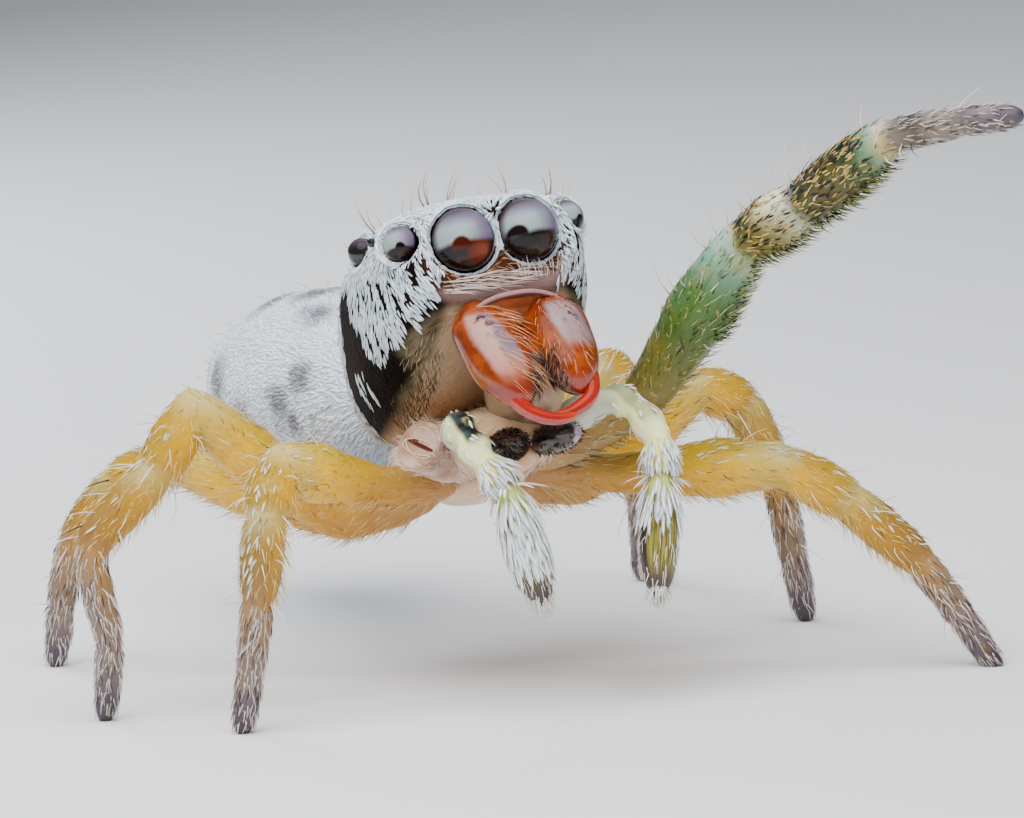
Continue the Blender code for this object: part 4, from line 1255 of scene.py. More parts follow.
flesh_skin = head_piece("soft_pleats", pod((0, -0.16, -0.44), (0.60, 0.98, 0.27), sides=40), flesh)
head_piece("breastplate", pod((0, 0.02, -0.70), (0.30, 0.56, 0.13)), flesh, ["sternum"])
head_piece("lip", pod((0, -0.84, -0.63), (0.14, 0.24, 0.10)), flesh)
plate_skins = [
    head_piece(f"mouth_plate_{side}", pod((x, -1.14, -0.55), (half, 0.30, 0.105), turn),
               dark_mouth, ["mouthparts"])
    for side, x, half, turn in (("left", 0.205, 0.165, 6.0), ("right", -0.16, 0.125, -6.0))
]
throat_skin = soft_finish("throat_skin", "pale_cuticle", tone(176, 146, 114), tone(146, 116, 88))
head_piece("throat", pod((0.10, -0.98, -0.16), (0.28, 0.36, 0.30)), throat_skin)
jaw_base = soft_finish("jaw_base_skin", "amber_cuticle", tone(150, 68, 22), tone(78, 34, 14))
head_piece("jaw_base", pod((0.02, -1.25, 0.33), (0.44, 0.15, 0.16)), jaw_base)

# %% [markdown]
# ## The leg that was lost
# The right front leg ends at its base. What is left is a short clear stump with a puckered end: pale
# rolled folds, one inside the other, and a red-brown slit across them. The folds are thin tubes bent
# into rings, each turned a little against the last.

# %% Stump
STUMP_IN = BODY @ Vector((-0.36, -0.44, -0.58))
STUMP_TIP = BODY @ Vector((-0.67, -0.70, -0.40))
stump_way = (STUMP_TIP - STUMP_IN).normalized()


STUMP_SHAPE = (
    (0.0, 0.68), (0.3, 0.85), (0.7, 0.98), (0.9, 1.03), (0.97, 1.0), (1.0, 0.92), (0.985, 0.84),
    (0.965, 0.70), (0.96, 0.45), (0.965, 0.15),
)


def stump_ring(share):
    """The last rows of the table turn back inwards, so the stump's end is a shallow cup."""
    at, size = smooth_row(STUMP_SHAPE, share * (len(STUMP_SHAPE) - 1))
    return ring_place(STUMP_IN.lerp(STUMP_TIP, at), stump_way, stump_way, Vector((0, 1, 0)), 0.185 * size)


def bead(name, finish, half, middle, sides=24):
    """A flattened ball, with its half sizes along the slit, across it and out of the stump."""
    shape = bmesh.new()
    bmesh.ops.create_uvsphere(shape, u_segments=sides, v_segments=12, radius=1.0)
    long_way, wide_way, high_way = (way * size for way, size in zip(SLIT_AXES, half))
    bmesh.ops.transform(shape, verts=shape.verts, matrix=frame_of(long_way, wide_way, high_way, middle))
    return finish_piece(name, shape, finish)


stump_clear = soft_finish("clear_stump", "pale_cuticle", tone(206, 176, 156), tone(150, 110, 86), 0.22)
stump_skin = under_skin("stump", tube_by(stump_ring, 36, 48), stump_clear, ["leg_right_1_stump"])
slit_way = perpendicular(PICTURE_RIGHT * 0.84 - PICTURE_UP * 0.54, stump_way)
slit_across = stump_way.cross(slit_way)
SLIT_AXES = (slit_way, slit_across, stump_way)
slit_middle = STUMP_IN.lerp(STUMP_TIP, 0.955)
scar = Finish("red_slit", "pale_cuticle", Roughness=0.25, Coat_Weight=0.8, Base_Color=tone(74, 20, 8))
bead("stump_slit", scar, (0.150, 0.018, 0.016), slit_middle + slit_way * 0.01)
scab = Finish("red_knot", "pale_cuticle", Roughness=0.2, Coat_Weight=1.0, Base_Color=tone(92, 26, 10),
              Subsurface_Weight=0.3, Subsurface_Scale=0.00005)
bead("stump_knot", scab, (0.034, 0.025, 0.018), slit_middle - slit_way * 0.06 + slit_across * 0.01, 20)
rolled = Finish("rolled_rim", "pale_cuticle", Roughness=0.2, Coat_Weight=0.6,
                Base_Color=tone(220, 190, 168), Subsurface_Weight=0.4, Subsurface_Scale=0.00006)
FOLDS = (
    (0.172, 0.93, 0.955, 0.0, 10, 0.0065), (0.158, 0.66, 0.965, 0.022, -12, 0.005),
    (0.150, 0.38, 0.975, -0.016, 6, 0.0045),
)
for number, (size, flat, depth, shift, turned, thick) in enumerate(FOLDS):
    middle = STUMP_IN.lerp(STUMP_TIP, depth) + slit_across * shift
    tipped = math.radians(turned)
    across = slit_way * math.cos(tipped) + slit_across * math.sin(tipped)
    upward = slit_across * math.cos(tipped) - slit_way * math.sin(tipped)
    angles = [2 * math.pi * k / 24 for k in range(25)]
    ring = [tuple(middle + across * size * math.cos(a) + upward * size * flat * math.sin(a)) for a in angles]
    folded = path_tube(ring, lambda t: thick, 96, 10, stump_way, dome=False)
    finish_piece(f"stump_fold_{number + 1}", folded, rolled)

# %% [markdown]
# ## Seven legs
# Each leg is one skin, so no seam shows at a joint: the ring at a joint lies in the plane that halves
# the bend, and the rings near it turn towards that plane. The share along the skin counts segments, so
# one colour ramp fits a long leg and a short one. Each joint is drawn in a little and left pale.

# %% Where the legs go
COXA_INNER = ((0.36, -0.44, -0.58), (0.38, -0.13, -0.64), (0.38, 0.18, -0.68), (0.34, 0.50, -0.68))
LEGS = {
    "left_1": (0, (1.06, -0.99, 1.93), (
        (1.60, 49, 53), (0.68, 61, 28), (0.97, 63, 33), (0.68, 63, 12), (0.53, 57, 7))),
    "left_2": (1, (0.95, -0.72, 1.46), (
        (1.30, 33, 2), (0.54, 38, -31), (0.70, 34, -42), (0.46, 38, -56), (0.44, 38, -57))),
    "left_3": (2, (0.92, -0.10, 1.25), (
        (1.23, -8, 32), (0.44, -7, -24), (0.73, -18, -66), (0.61, -24, -79), (0.46, -28, -78))),
    "left_4": (3, (0.74, 0.42, 1.15), (
        (1.45, -44, 29), (0.51, -48, -8), (0.88, -58, -47), (0.72, -66, -64), (0.54, -72, -68))),
    "right_2": (1, (-0.78, -0.65, 1.56), (
        (1.06, 20, 18), (0.42, 50, -48), (0.63, 10, -80), (0.51, -30, -80), (0.49, -40, -79))),
    "right_3": (2, (-0.92, -0.10, 1.20), (
        (1.46, -6, 43), (0.54, 5, -54), (0.73, -4, -41), (0.72, 120, -77), (0.60, -73, -78))),
    "right_4": (3, (-0.74, 0.42, 1.15), (
        (1.37, -46, 19), (0.54, -50, -19), (0.66, -56, -46), (0.51, -50, -74), (0.46, -48, -81))),
}
SEGMENTS = ("coxa", "femur", "patella", "tibia", "metatarsus", "tarsus")
SKIN_RADII = {"coxa": 0.160, "femur": 0.222, "patella": 0.186, "tibia": 0.162, "metatarsus": 0.118, "tarsus": 0.100}
FRONT_RADII = {"coxa": 0.165, "femur": 0.255, "patella": 0.210, "tibia": 0.195, "metatarsus": 0.122, "tarsus": 0.104}
SEGMENT_SHAPES = {
    "coxa": ((0.0, 0.50), (0.2, 0.86), (0.5, 1.0), (0.8, 1.08), (1.0, 1.04)),
    "femur": ((0.0, 0.72), (0.07, 0.78), (0.25, 0.93), (0.50, 1.0), (0.75, 0.97), (0.92, 0.86), (1.0, 0.78)),
    "patella": ((0.0, 0.86), (0.30, 0.98), (0.65, 1.0), (0.90, 0.92), (1.0, 0.88)),
    "tibia": ((0.0, 0.90), (0.20, 0.98), (0.50, 1.0), (0.80, 0.90), (1.0, 0.76)),
    "metatarsus": ((0.0, 0.98), (0.20, 1.0), (0.60, 0.96), (0.90, 0.90), (1.0, 0.88)),
    "tarsus": ((0.0, 0.98), (0.35, 1.0), (0.75, 0.88), (0.92, 0.70), (1.0, 0.45)),
}


def leg_points(name):
    """The leg's joints from the breastplate to the foot. A standing leg's last one is on the floor."""
    pair, root, segments = LEGS[name]
    sign = 1 if name.startswith("left") else -1
    x, y, z = COXA_INNER[pair]
    start = BODY @ Vector((sign * x, y, z))
    start += (start - Vector(root)).normalized() * 0.16
    points = [start, Vector(root)]
    for length, heading, pitch in segments:
        heading, pitch = math.radians(heading), math.radians(pitch)
        step = Vector((sign * math.cos(heading), -math.sin(heading), 0.0)) * math.cos(pitch)
        step.z = math.sin(pitch)
        points.append(points[-1] + step * length)
    if name != "left_1":
        last = points[-1] - points[-2]
        points[-1] = points[-2] + last * (points[-2].z / -last.z)
    return points


def rounded(points, ways, number, from_start, to_end, reach=0.18):
    """A place on the leg's middle line, with the corner at each joint rounded off by a curve."""
    if number and from_start < reach:
        share, joint, before, after = (1 + from_start / reach) / 2, points[number], ways[number - 1], ways[number]
    elif number < len(ways) - 1 and to_end < reach:
        share, joint, before, after = (1 - to_end / reach) / 2, points[number + 1], ways[number], ways[number + 1]
    else:
        return points[number] + ways[number] * from_start
    return joint - before * reach * (1 - share) ** 2 + after * reach * share ** 2


def make_leg(name):
    points = leg_points(name)
    radii = FRONT_RADII if name == "left_1" else SKIN_RADII
    sign = 1 if name.startswith("left") else -1
    heading = math.radians(LEGS[name][2][0][1])
    side = Vector((math.sin(heading), sign * math.cos(heading), 0.0))
    ways = [(b - a).normalized() for a, b in zip(points, points[1:])]
    planes = [ways[0]] + [(a + b).normalized() for a, b in zip(ways, ways[1:])]
    planes.append(ways[-1] if name == "left_1" else Vector((0, 0, -1)))
    places, alongs = [], []
    last_size = 0.0
    for number, segment in enumerate(SEGMENTS):
        start, end, way = points[number], points[number + 1], ways[number]
        length = (end - start).length
        reach = min(0.45 * length, 1.7 * radii[segment])
        rings = 20 if segment != "coxa" else 10
        for step in range(rings + (segment == "tarsus")):
            share = 0.5 - 0.5 * math.cos(math.pi * step / rings)
            from_start, to_end = share * length, (1.0 - share) * length
            near, far = max(0.0, 1.0 - from_start / reach), max(0.0, 1.0 - to_end / reach)
            plane = planes[number] * near + planes[number + 1] * far + way * (1.0 - near - far)
            size = swell_at(SEGMENT_SHAPES[segment], share) * radii[segment]
            if segment not in ("coxa", "tarsus") and step:
                size *= 1.0 - 0.08 * math.exp(-((to_end / 0.045) ** 2))
            if number and step == 0:
                size = (0.46 if number > 1 else 0.49) * (size + last_size)
            centre = rounded(points, ways, number, from_start, to_end)
            places.append(ring_place(centre, way, plane.normalized(), side, size))
            alongs.append((number + share) / len(SEGMENTS))
        last_size = swell_at(SEGMENT_SHAPES[segment], 1.0) * radii[segment]
    leg = tube(places, alongs, 28)
    share = leg.verts.layers.float["along"]
    ringed = [v for v in leg.verts if len(v.link_edges) == 4 and 0.04 < v[share] < 0.985]
    hip = [v for v in ringed if 0.55 < v[share] * len(SEGMENTS) < 1.55]
    knee = [v for v in ringed if 1.72 < v[share] * len(SEGMENTS) < 2.35]
    for verts, times in ((ringed, 3), (hip, 34), (knee, 12)):
        for _ in range(times):
            bmesh.ops.smooth_vert(leg, verts=verts, factor=0.4, use_axis_x=True, use_axis_y=True, use_axis_z=True)
    return leg


# %% [markdown]
# ## The legs' colours
# The walking legs are yellow, smoky at the joints and dusty. The raised front leg is green. Both are one
# finish with two rows of colours, for the top and for the underside, that run along the six segments.

# %% The legs' colours


def leg_finish(name, slot, top, under, dusty):
    """Colours along a leg on its top and on its underside. Both ramps run over the six segments."""
    finish = Finish(name, slot, Roughness=0.36, Coat_Weight=0.15, Coat_Roughness=0.15, Specular_IOR_Level=0.35,
                    Subsurface_Weight=0.25, Subsurface_Scale=0.0001, Subsurface_Radius=(1.0, 0.8, 0.4))
    turn, along = finish.lay()
    place = finish.where()
    cloud = finish.noise(place, 4.5, 4.0)
    fine = finish.noise(place, 24.0, 3.0)
    at = along + (cloud - 0.5) * 0.02
    height = (turn - 0.5).math("ABSOLUTE") + (cloud - 0.5) * 0.16
    both = height.ramp(0.10, 0.30).mix(at.colours(*top), at.colours(*under))
    grain = turn.node("ShaderNodeCombineXYZ", {0: turn * 30.0, 1: along * 40.0})
    strokes = finish.noise(grain, 1.0, 2.0)
    streaked = (strokes.ramp(0.56, 0.70) * dusty).mix(both, tone(74, 70, 40))
    clouded = (cloud.ramp(0.55, 0.72) * 0.35).mix(streaked, tone(140, 104, 40))
    pale = (fine.ramp(0.40, 0.30) * 0.3).mix(clouded, tone(226, 204, 120))
    finish.drive("Base Color", pale)
    finish.bump(fine, 0.012, 0.5)
    return finish


def stops(*rows):
    """Ramp stops from places counted in segments."""
    return [(place / len(SEGMENTS), tone(*colour)) for place, *colour in rows]


YELLOW_TOP = stops(
    (0.0, 172, 130, 92), (0.85, 170, 132, 80), (1.25, 184, 144, 8), (1.75, 182, 150, 12), (1.98, 192, 174, 112),
    (2.3, 168, 130, 6), (2.9, 164, 132, 38), (3.02, 184, 166, 104), (3.4, 146, 110, 36), (3.9, 138, 102, 54),
    (4.05, 152, 118, 78), (4.6, 124, 104, 84), (5.2, 120, 102, 100), (5.65, 80, 66, 80), (6.0, 52, 44, 58),
)
YELLOW_UNDER = stops(
    (0.0, 176, 126, 80), (0.85, 182, 128, 48), (1.25, 204, 146, 0), (1.7, 230, 178, 0), (1.98, 198, 164, 58),
    (2.3, 222, 168, 0), (2.9, 194, 142, 0), (3.02, 186, 158, 68), (3.35, 186, 134, 0), (3.9, 156, 108, 18),
    (4.05, 160, 116, 58), (4.6, 130, 102, 72), (5.2, 120, 102, 94), (5.65, 80, 66, 80), (6.0, 52, 44, 58),
)
GREEN_TOP = stops(
    (0.0, 170, 136, 98), (0.9, 140, 120, 80), (1.2, 98, 100, 54), (1.5, 62, 88, 42), (1.75, 66, 106, 66),
    (1.90, 104, 158, 138), (1.99, 150, 180, 168), (2.08, 190, 176, 128), (2.2, 40, 48, 50), (2.4, 54, 58, 42),
    (2.55, 204, 190, 140), (2.75, 218, 212, 184), (2.92, 206, 208, 206), (3.06, 46, 52, 60), (3.4, 50, 52, 38),
    (3.76, 36, 50, 48), (3.88, 92, 142, 132), (4.0, 190, 178, 154), (4.2, 104, 100, 94), (4.5, 80, 70, 72),
    (4.75, 130, 120, 114), (5.2, 94, 86, 90), (5.5, 128, 114, 118), (6.0, 74, 68, 82),
)
GREEN_UNDER = stops(
    (0.0, 176, 136, 88), (0.9, 150, 118, 60), (1.2, 112, 104, 44), (1.5, 70, 94, 28), (1.75, 66, 104, 40),
    (1.90, 100, 142, 108), (1.99, 150, 166, 122), (2.10, 110, 108, 44), (2.5, 110, 104, 40), (2.75, 160, 150, 98),
    (2.92, 190, 188, 160), (3.08, 76, 80, 30), (3.4, 84, 72, 20), (3.74, 60, 86, 20), (3.88, 104, 144, 106),
    (4.0, 190, 166, 110), (4.2, 116, 104, 84), (4.5, 88, 76, 64), (4.75, 134, 120, 102), (5.3, 100, 90, 90),
    (6.0, 78, 70, 78),
)
yellow_leg = leg_finish("yellow_leg", "yellow_leg_cuticle", YELLOW_TOP, YELLOW_UNDER, 0.12)
green_leg = leg_finish("green_leg", "green_leg_cuticle", GREEN_TOP, GREEN_UNDER, 0.65)

# %% [markdown]
# ## Build the legs
# Each leg's skin takes the place of three solids, and it is kept as a list of triangles for its hair.

# %% Build the legs
leg_skins = {}
for name in LEGS:
    finish = green_leg if name == "left_1" else yellow_leg
    nodes = [f"leg_{name}_{part}" for part in ("femur", "shin", "foot")]
    leg_skins[name] = under_skin(f"skin_{name}", make_leg(name), finish, nodes)
print("legs:", len(leg_skins))

# %% [markdown]
# ## Palps
# The palps are two short feelers beside the mouth. Each arches up and over, narrows at its wrist, and
# ends in a brush that hangs down before the animal.

# %% Build the palps
PALPS = {
    "left": ((0.35, -1.14, 1.93), (0.68, -1.42, 2.13), (0.85, -1.54, 2.07), (0.94, -1.70, 1.86), (0.91, -1.80, 1.62),
             (0.76, -2.00, 0.75)),
    "right": ((-0.36, -1.16, 1.92), (-0.50, -1.45, 2.09), (-0.47, -1.57, 2.02), (-0.40, -1.69, 1.86),
              (-0.28, -1.80, 1.68), (-0.13, -2.04, 0.79)),
}
BRUSH_SHAPE = ((0.0, 0.50), (0.05, 0.62), (0.2, 0.86), (0.45, 1.0), (0.7, 0.94), (0.88, 0.70), (1.0, 0.40))


def palp_finish(name, top_dark, strength):
    finish = Finish(name, "palp_cuticle", Roughness=0.3, Coat_Weight=0.4, Coat_Roughness=0.12,
                    Subsurface_Weight=0.35, Subsurface_Scale=0.00012, Subsurface_Radius=(1.0, 0.9, 0.5))
    turn, along = finish.lay()
    cloud = finish.noise(finish.where(), 6.0, 4.0)
    at = along + (cloud - 0.5) * 0.08
    skin = at.colours((0.0, tone(214, 200, 200)), (1.0, tone(244, 222, 120)), (0.2, tone(206, 210, 190)),
                      (0.45, tone(236, 240, 160)), (0.7, tone(248, 246, 190)), (0.92, tone(240, 214, 60)))
    dark = (turn - 0.5).math("ABSOLUTE").ramp(0.15, 0.08) * cloud.ramp(0.22, 0.40) * strength
    dark = dark * along.ramp(top_dark - 0.3, top_dark - 0.2) * along.ramp(top_dark + 0.2, top_dark + 0.1)
    finish.drive("Base Color", dark.mix(skin, cloud.ramp(0.45, 0.65).mix(tone(20, 26, 30), tone(44, 70, 66))))
    finish.bump(cloud, 0.02, 0.4)
    return finish


def brush_finish(name, dark_side):
    finish = Finish(name, "palp_cuticle", Roughness=0.4, Coat_Weight=0.2, Subsurface_Weight=0.2,
                    Subsurface_Scale=0.0001)
    turn, along = finish.lay()
    grain = turn.node("ShaderNodeCombineXYZ", {0: turn * 80.0, 1: along * 4.0})
    rib = finish.noise(grain, 1.0, 2.0).ramp(0.42, 0.58)
    olive = rib.mix(tone(84, 76, 28), tone(150, 142, 62))
    skin = along.ramp(0.0, 0.35).mix(tone(214, 218, 120), olive)
    dark_edge = (turn - 0.72).math("ABSOLUTE").ramp(0.08, 0.04) * along.ramp(0.35, 0.45) * dark_side
    edged = dark_edge.mix(skin, tone(44, 20, 14))
    finish.drive("Base Color", along.ramp(0.68, 0.92).mix(edged, tone(60, 40, 34)))
    return finish


brush_skins, stem_skins = {}, {}
for side, path in PALPS.items():
    stem = path_tube([*path[:5]], lambda t: 0.112 * (1.0 - 0.14 * math.cos(t * 4 * 2 * math.pi)),
                     72, 28, Vector((1, 0, 0)))
    stem_finish = palp_finish(f"palp_skin_{side}", *((0.5, 0.6) if side == "left" else (0.46, 1.0)))
    stem_skins[side] = under_skin(f"palp_arm_{side}", stem, stem_finish, [f"palp_{side}_stem"])
    wrist, tip = Vector(path[4]), Vector(path[5])
    way = (tip - wrist).normalized()
    core = tube_by(lambda t: ring_place(
        wrist.lerp(tip, 0.97 * t), way, way, Vector((1, 0, 0)), swell_at(BRUSH_SHAPE, t) * 0.145), 30, 32)
    core_finish = brush_finish(f"palp_core_{side}", 1.0 if side == "left" else 0.3)
    brush_skins[side] = under_skin(f"palp_brush_{side}", core, core_finish, [f"palp_{side}_tarsus"])

# %% [markdown]
# ## The abdomen
# The abdomen is an egg with a blunt front. Its white comes from crystals under a thin skin and from
# scales on top of it, and soft grey-black blotches break it up, the same on both sides. Each blotch is
# the distance to a point, and noise frays its edge. The distance is measured from the animal's middle,
# so one point marks both flanks. Skin and scales read the same places, so their blotches agree.

# %% Abdomen, waist and spinnerets
ABDOMEN_FRONT = Vector((0.0, 0.86, 1.84))
ABDOMEN_REAR = Vector((0.0, 3.86, 1.64))
BLOTCHES = (
    ((0.64, 1.29, 2.10), 0.10), ((0.76, 1.45, 1.90), 0.10), ((0.73, 1.35, 1.75), 0.07), ((0.84, 2.04, 1.69), 0.12),
    ((0.30, 1.70, 2.52), 0.12), ((0.12, 2.20, 2.58), 0.14), ((0.36, 2.60, 2.45), 0.13), ((0.12, 3.00, 2.35), 0.12),
    ((0.78, 2.60, 1.90), 0.14), ((0.60, 3.15, 1.95), 0.12), ((0.72, 2.45, 1.35), 0.10),
)


def abdomen_tone(finish, white, grey):
    place = finish.where()
    x, y, z = (place.node("ShaderNodeSeparateXYZ", {0: place}, k) for k in range(3))
    cloud = finish.noise(place, 1.5, 3.0)
    broken = finish.noise(place, 6.0, 3.0)
    middle = (x + 0.113).math("ABSOLUTE")
    folded = x.node("ShaderNodeCombineXYZ", {0: middle + (cloud - 0.5) * 0.5, 1: y + (broken - 0.5) * 0.3, 2: z})
    marks = (cloud + (broken - 0.5) * 0.5).ramp(0.56, 0.70) * 0.35
    for spot, size in BLOTCHES:
        away = folded.node("ShaderNodeVectorMath", {0: folded, 1: spot}, 1, operation="DISTANCE")
        marks = marks.math("MAXIMUM", away.ramp(size * 2.3, size * 0.4) * 0.8)
    low = (z + (cloud - 0.5) * 0.5).ramp(1.90, 1.30)
    marked = marks.mix((low * 0.75).mix(white, grey), tone(50, 52, 60))
    return marked


def make_abdomen():
    axis = ABDOMEN_REAR - ABDOMEN_FRONT
    way = axis.normalized()
    up = Vector((1, 0, 0)).cross(way)
    places, alongs = [], []
    steps = 72
    for step in range(steps + 1):
        t = 0.5 - 0.5 * math.cos(math.pi * (0.015 + 0.97 * step / steps))
        size = math.sqrt(max(0.0, 1.0 - abs(2.0 * t ** 0.92 - 1.0) ** 2.3))
        centre = ABDOMEN_FRONT + axis * t + up * 0.10 * math.sin(math.pi * t)
        places.append(ring_place(centre, way, way, Vector((-1, 0, 0)), 0.845 * size, 0.715 * size))
        alongs.append(t)
    return tube(places, alongs, 96)


abdomen_finish = Finish("abdomen_skin", "abdomen_coat", Roughness=0.5, Subsurface_Weight=0.2,
                        Subsurface_Scale=0.00015)
abdomen_finish.drive("Base Color", abdomen_tone(abdomen_finish, tone(196, 204, 216), tone(120, 134, 150)))
abdomen_finish.bump(abdomen_finish.noise(abdomen_finish.where(), 16.0, 3.0), 0.03, 0.5)
abdomen = make_abdomen()
abdomen_skin = under_skin("abdomen_shape", abdomen, abdomen_finish, ["abdomen"])

waist_start = BODY @ Vector((0.0, 0.94, -0.02))
waist_path = (waist_start, waist_start.lerp(ABDOMEN_FRONT, 0.5), ABDOMEN_FRONT + Vector((0, 0.12, 0)))
waist = path_tube([tuple(point) for point in waist_path], lambda t: 0.115, 12, 24, Vector((1, 0, 0)), dome=False)
finish_piece("waist", waist, flesh, ["pedicel"])


def make_spinneret(across, up):
    start = ABDOMEN_REAR + Vector((across * 0.085, -0.10, up * 0.085))
    end = start + Vector((across * 0.05, 0.34, -0.02))
    path = [tuple(start), tuple(start.lerp(end, 0.5)), tuple(end)]
    return path_tube(path, lambda t: 0.078 * (1.0 - 0.5 * t), 14, 20, Vector((1, 0, 0)))


spun = soft_finish("spinneret_skin", "pale_cuticle", tone(150, 142, 134), tone(92, 84, 80))
for number, (across, up) in enumerate(((-0.8, 0.35), (0.8, 0.35), (0.0, -0.6))):
    finish_piece(f"spinneret_{number + 1}", make_spinneret(across, up), spun, ["spinnerets"])

# %% [markdown]
# ## Hair on the legs
# A jumping spider's legs carry three sorts of hair: a short fine down all over, white scales on top of
# the femora, and long single bristles that stand out and feel the air. The down is longest under the
# femora. Each root knows its share along the leg, so each hair can lie along its own segment.

# %% Ways along a leg


def leg_ways(name, lay):
    """The way of the segment that each root grows on."""
    points = leg_points(name)
    ways = np.array([(b - a).normalized() for a, b in zip(points, points[1:])])
    return ways[np.clip((lay[:, 1] * len(SEGMENTS)).astype(int), 0, len(SEGMENTS) - 1)]


def on_segments(lay, low, high):
    at = lay[:, 1] * len(SEGMENTS)
    return (at > low) & (at < high)


def from_top(lay):
    """0 on top of a limb, 1 under it."""
    return np.abs(np.mod(lay[:, 0], 1.0) - 0.5) * 2.0


HAIR_TONES = {
    "leg_down": ("yellow", (196, 154, 40), (242, 214, 140), (104, 74, 30), 0.12),
    "green_down": ("green", (128, 136, 84), (206, 204, 160), (28, 34, 26), 0.5),
    "gold_down": ("green", (176, 122, 40), (220, 186, 110), (26, 28, 30), 0.5),
    "foot_down": ("yellow", (156, 142, 134), (224, 216, 212), (60, 48, 56), 0.3),
    "leg_bristle": ("yellow", (206, 196, 190), (250, 246, 244), (34, 26, 22), 0.08),
}
leg_down, green_down, gold_down, foot_down, leg_bristle = (
    hair_tone(name, f"{slot}_leg_cuticle", tone(*low), tone(*high), tone(*dark), share)
    for name, (slot, low, high, dark, share) in HAIR_TONES.items())
leg_scales = white_scale_finish("leg_scales", "yellow_leg_cuticle", tone(196, 184, 146), tone(236, 230, 216))
print("hair and scale tones for the legs:", len(HAIR_TONES) + 1)

# %% [markdown]
# ## Dress every leg
# A leg carries longer down underneath than on top, dense down on its foot, flat scales in a strip on
# top and a few stiff bristles. Each cover asks where along the leg and how far from its top a root is.

# %% Down, scales and bristles on every leg


def gold_cover(places, lay):
    strip = on_segments(lay, 2.08, 3.84) & (from_top(lay) < 0.8)
    return only(strip, np.where(on_segments(lay, 2.45, 2.95), 0.25, 0.7))


def strip_cover(places, lay):
    return only(on_segments(lay, 1.3, 3.9) & (from_top(lay) < 0.34), 0.24 - 0.6 * from_top(lay))


for number, (name, skin) in enumerate(leg_skins.items()):
    front = name == "left_1"
    along = lambda p, lay: leg_ways(name, lay)
    dress(f"down_{name}", skin, lambda p, lay: only(on_segments(lay, 0.3, 4.0), 0.30 + 0.5 * from_top(lay)),
          (2600, 100 + number, 0.045), along, green_down if front else leg_down,
          (lambda p, lay: 0.09 + 0.04 * (from_top(lay) > 0.6), 0.0068, 0.006),
          (lambda p, lay: 16.0 + 24.0 * from_top(lay), lambda p, lay: 8.0 + 20.0 * from_top(lay)),
          120 + number, 14.0)
    dress(f"foot_down_{name}", skin, lambda p, lay: only(on_segments(lay, 4.0, 5.86), 0.8),
          (3600, 140 + number, 0.026), along, foot_down, (0.095, 0.0095, 0.008), (15.0, 6.0), 160 + number)
    cover, count, spacing, finish, size = (
        (gold_cover, 5000, 0.026, gold_down, (0.085, 0.014, 0.006)) if front else
        (strip_cover, 2600, 0.03, leg_scales, (0.095, 0.020, 0.006)))
    dress(f"top_scales_{name}", skin, cover, (count, 180 + number, spacing), along, finish,
          size, (9.0, 3.0), 200 + number, hair=False)
    dress(f"bristles_{name}", skin,
          lambda p, lay: only(on_segments(lay, 1.5, 5.2), np.where(from_top(lay) < 0.6, 0.34, 0.10)),
          (300, 220 + number, 0.12), along, leg_bristle,
          (lambda p, lay: np.where(on_segments(lay, 1.0, 2.0), 0.20, 0.27), 0.0105, 0.0105),
          (66.0, 26.0), 240 + number, 16.0)

# %% [markdown]
# ## The raised leg's fringe
# Under its femur, patella and tibia the raised front leg has a short, loose fringe, dark green at the
# root and yellow at the tip. It shows against the light as a row of small teeth.

# %% The fringe
fringe_finish = Finish("green_fringe", "green_leg_cuticle", Roughness=0.4)
tip = fringe_finish.attribute("tip")
luck = fringe_finish.attribute("luck")
fringe_finish.drive("Base Color", (tip + (luck - 0.5) * 0.6).ramp(0.15, 0.85).mix(
    tone(34, 44, 26), tone(150, 156, 62)))
front_skin = leg_skins["left_1"]
dress("fringe_left_1", front_skin, lambda p, lay: only(on_segments(lay, 1.55, 3.92) & (from_top(lay) > 0.84), 0.8),
      (9000, 300, 0.045), lambda p, lay: leg_ways("left_1", lay), fringe_finish,
      (lambda p, lay: np.where(lay[:, 1] < 2.0 / 6.0, 0.09, 0.125), 0.013, 0.011), (50.0, 30.0), 301, 14.0)
dress("long_hairs_left_1", front_skin, lambda p, lay: only(on_segments(lay, 1.1, 5.7) & (from_top(lay) < 0.5), 0.14),
      (200, 310, 0.2), lambda p, lay: leg_ways("left_1", lay), pale_bristles,
      (lambda p, lay: np.where(lay[:, 1] > 4.4 / 6.0, 0.14, 0.25), 0.010, 0.010), (80.0, 44.0), 311, 22.0)

# %% [markdown]
# ## Lances on the palps
# The palps' brushes are dressed in long white scales, each a lance of a fifth of a millimetre. They
# fan out from the wrist in tiers and leave the olive tip bare, where a ring of short pale hairs stands.

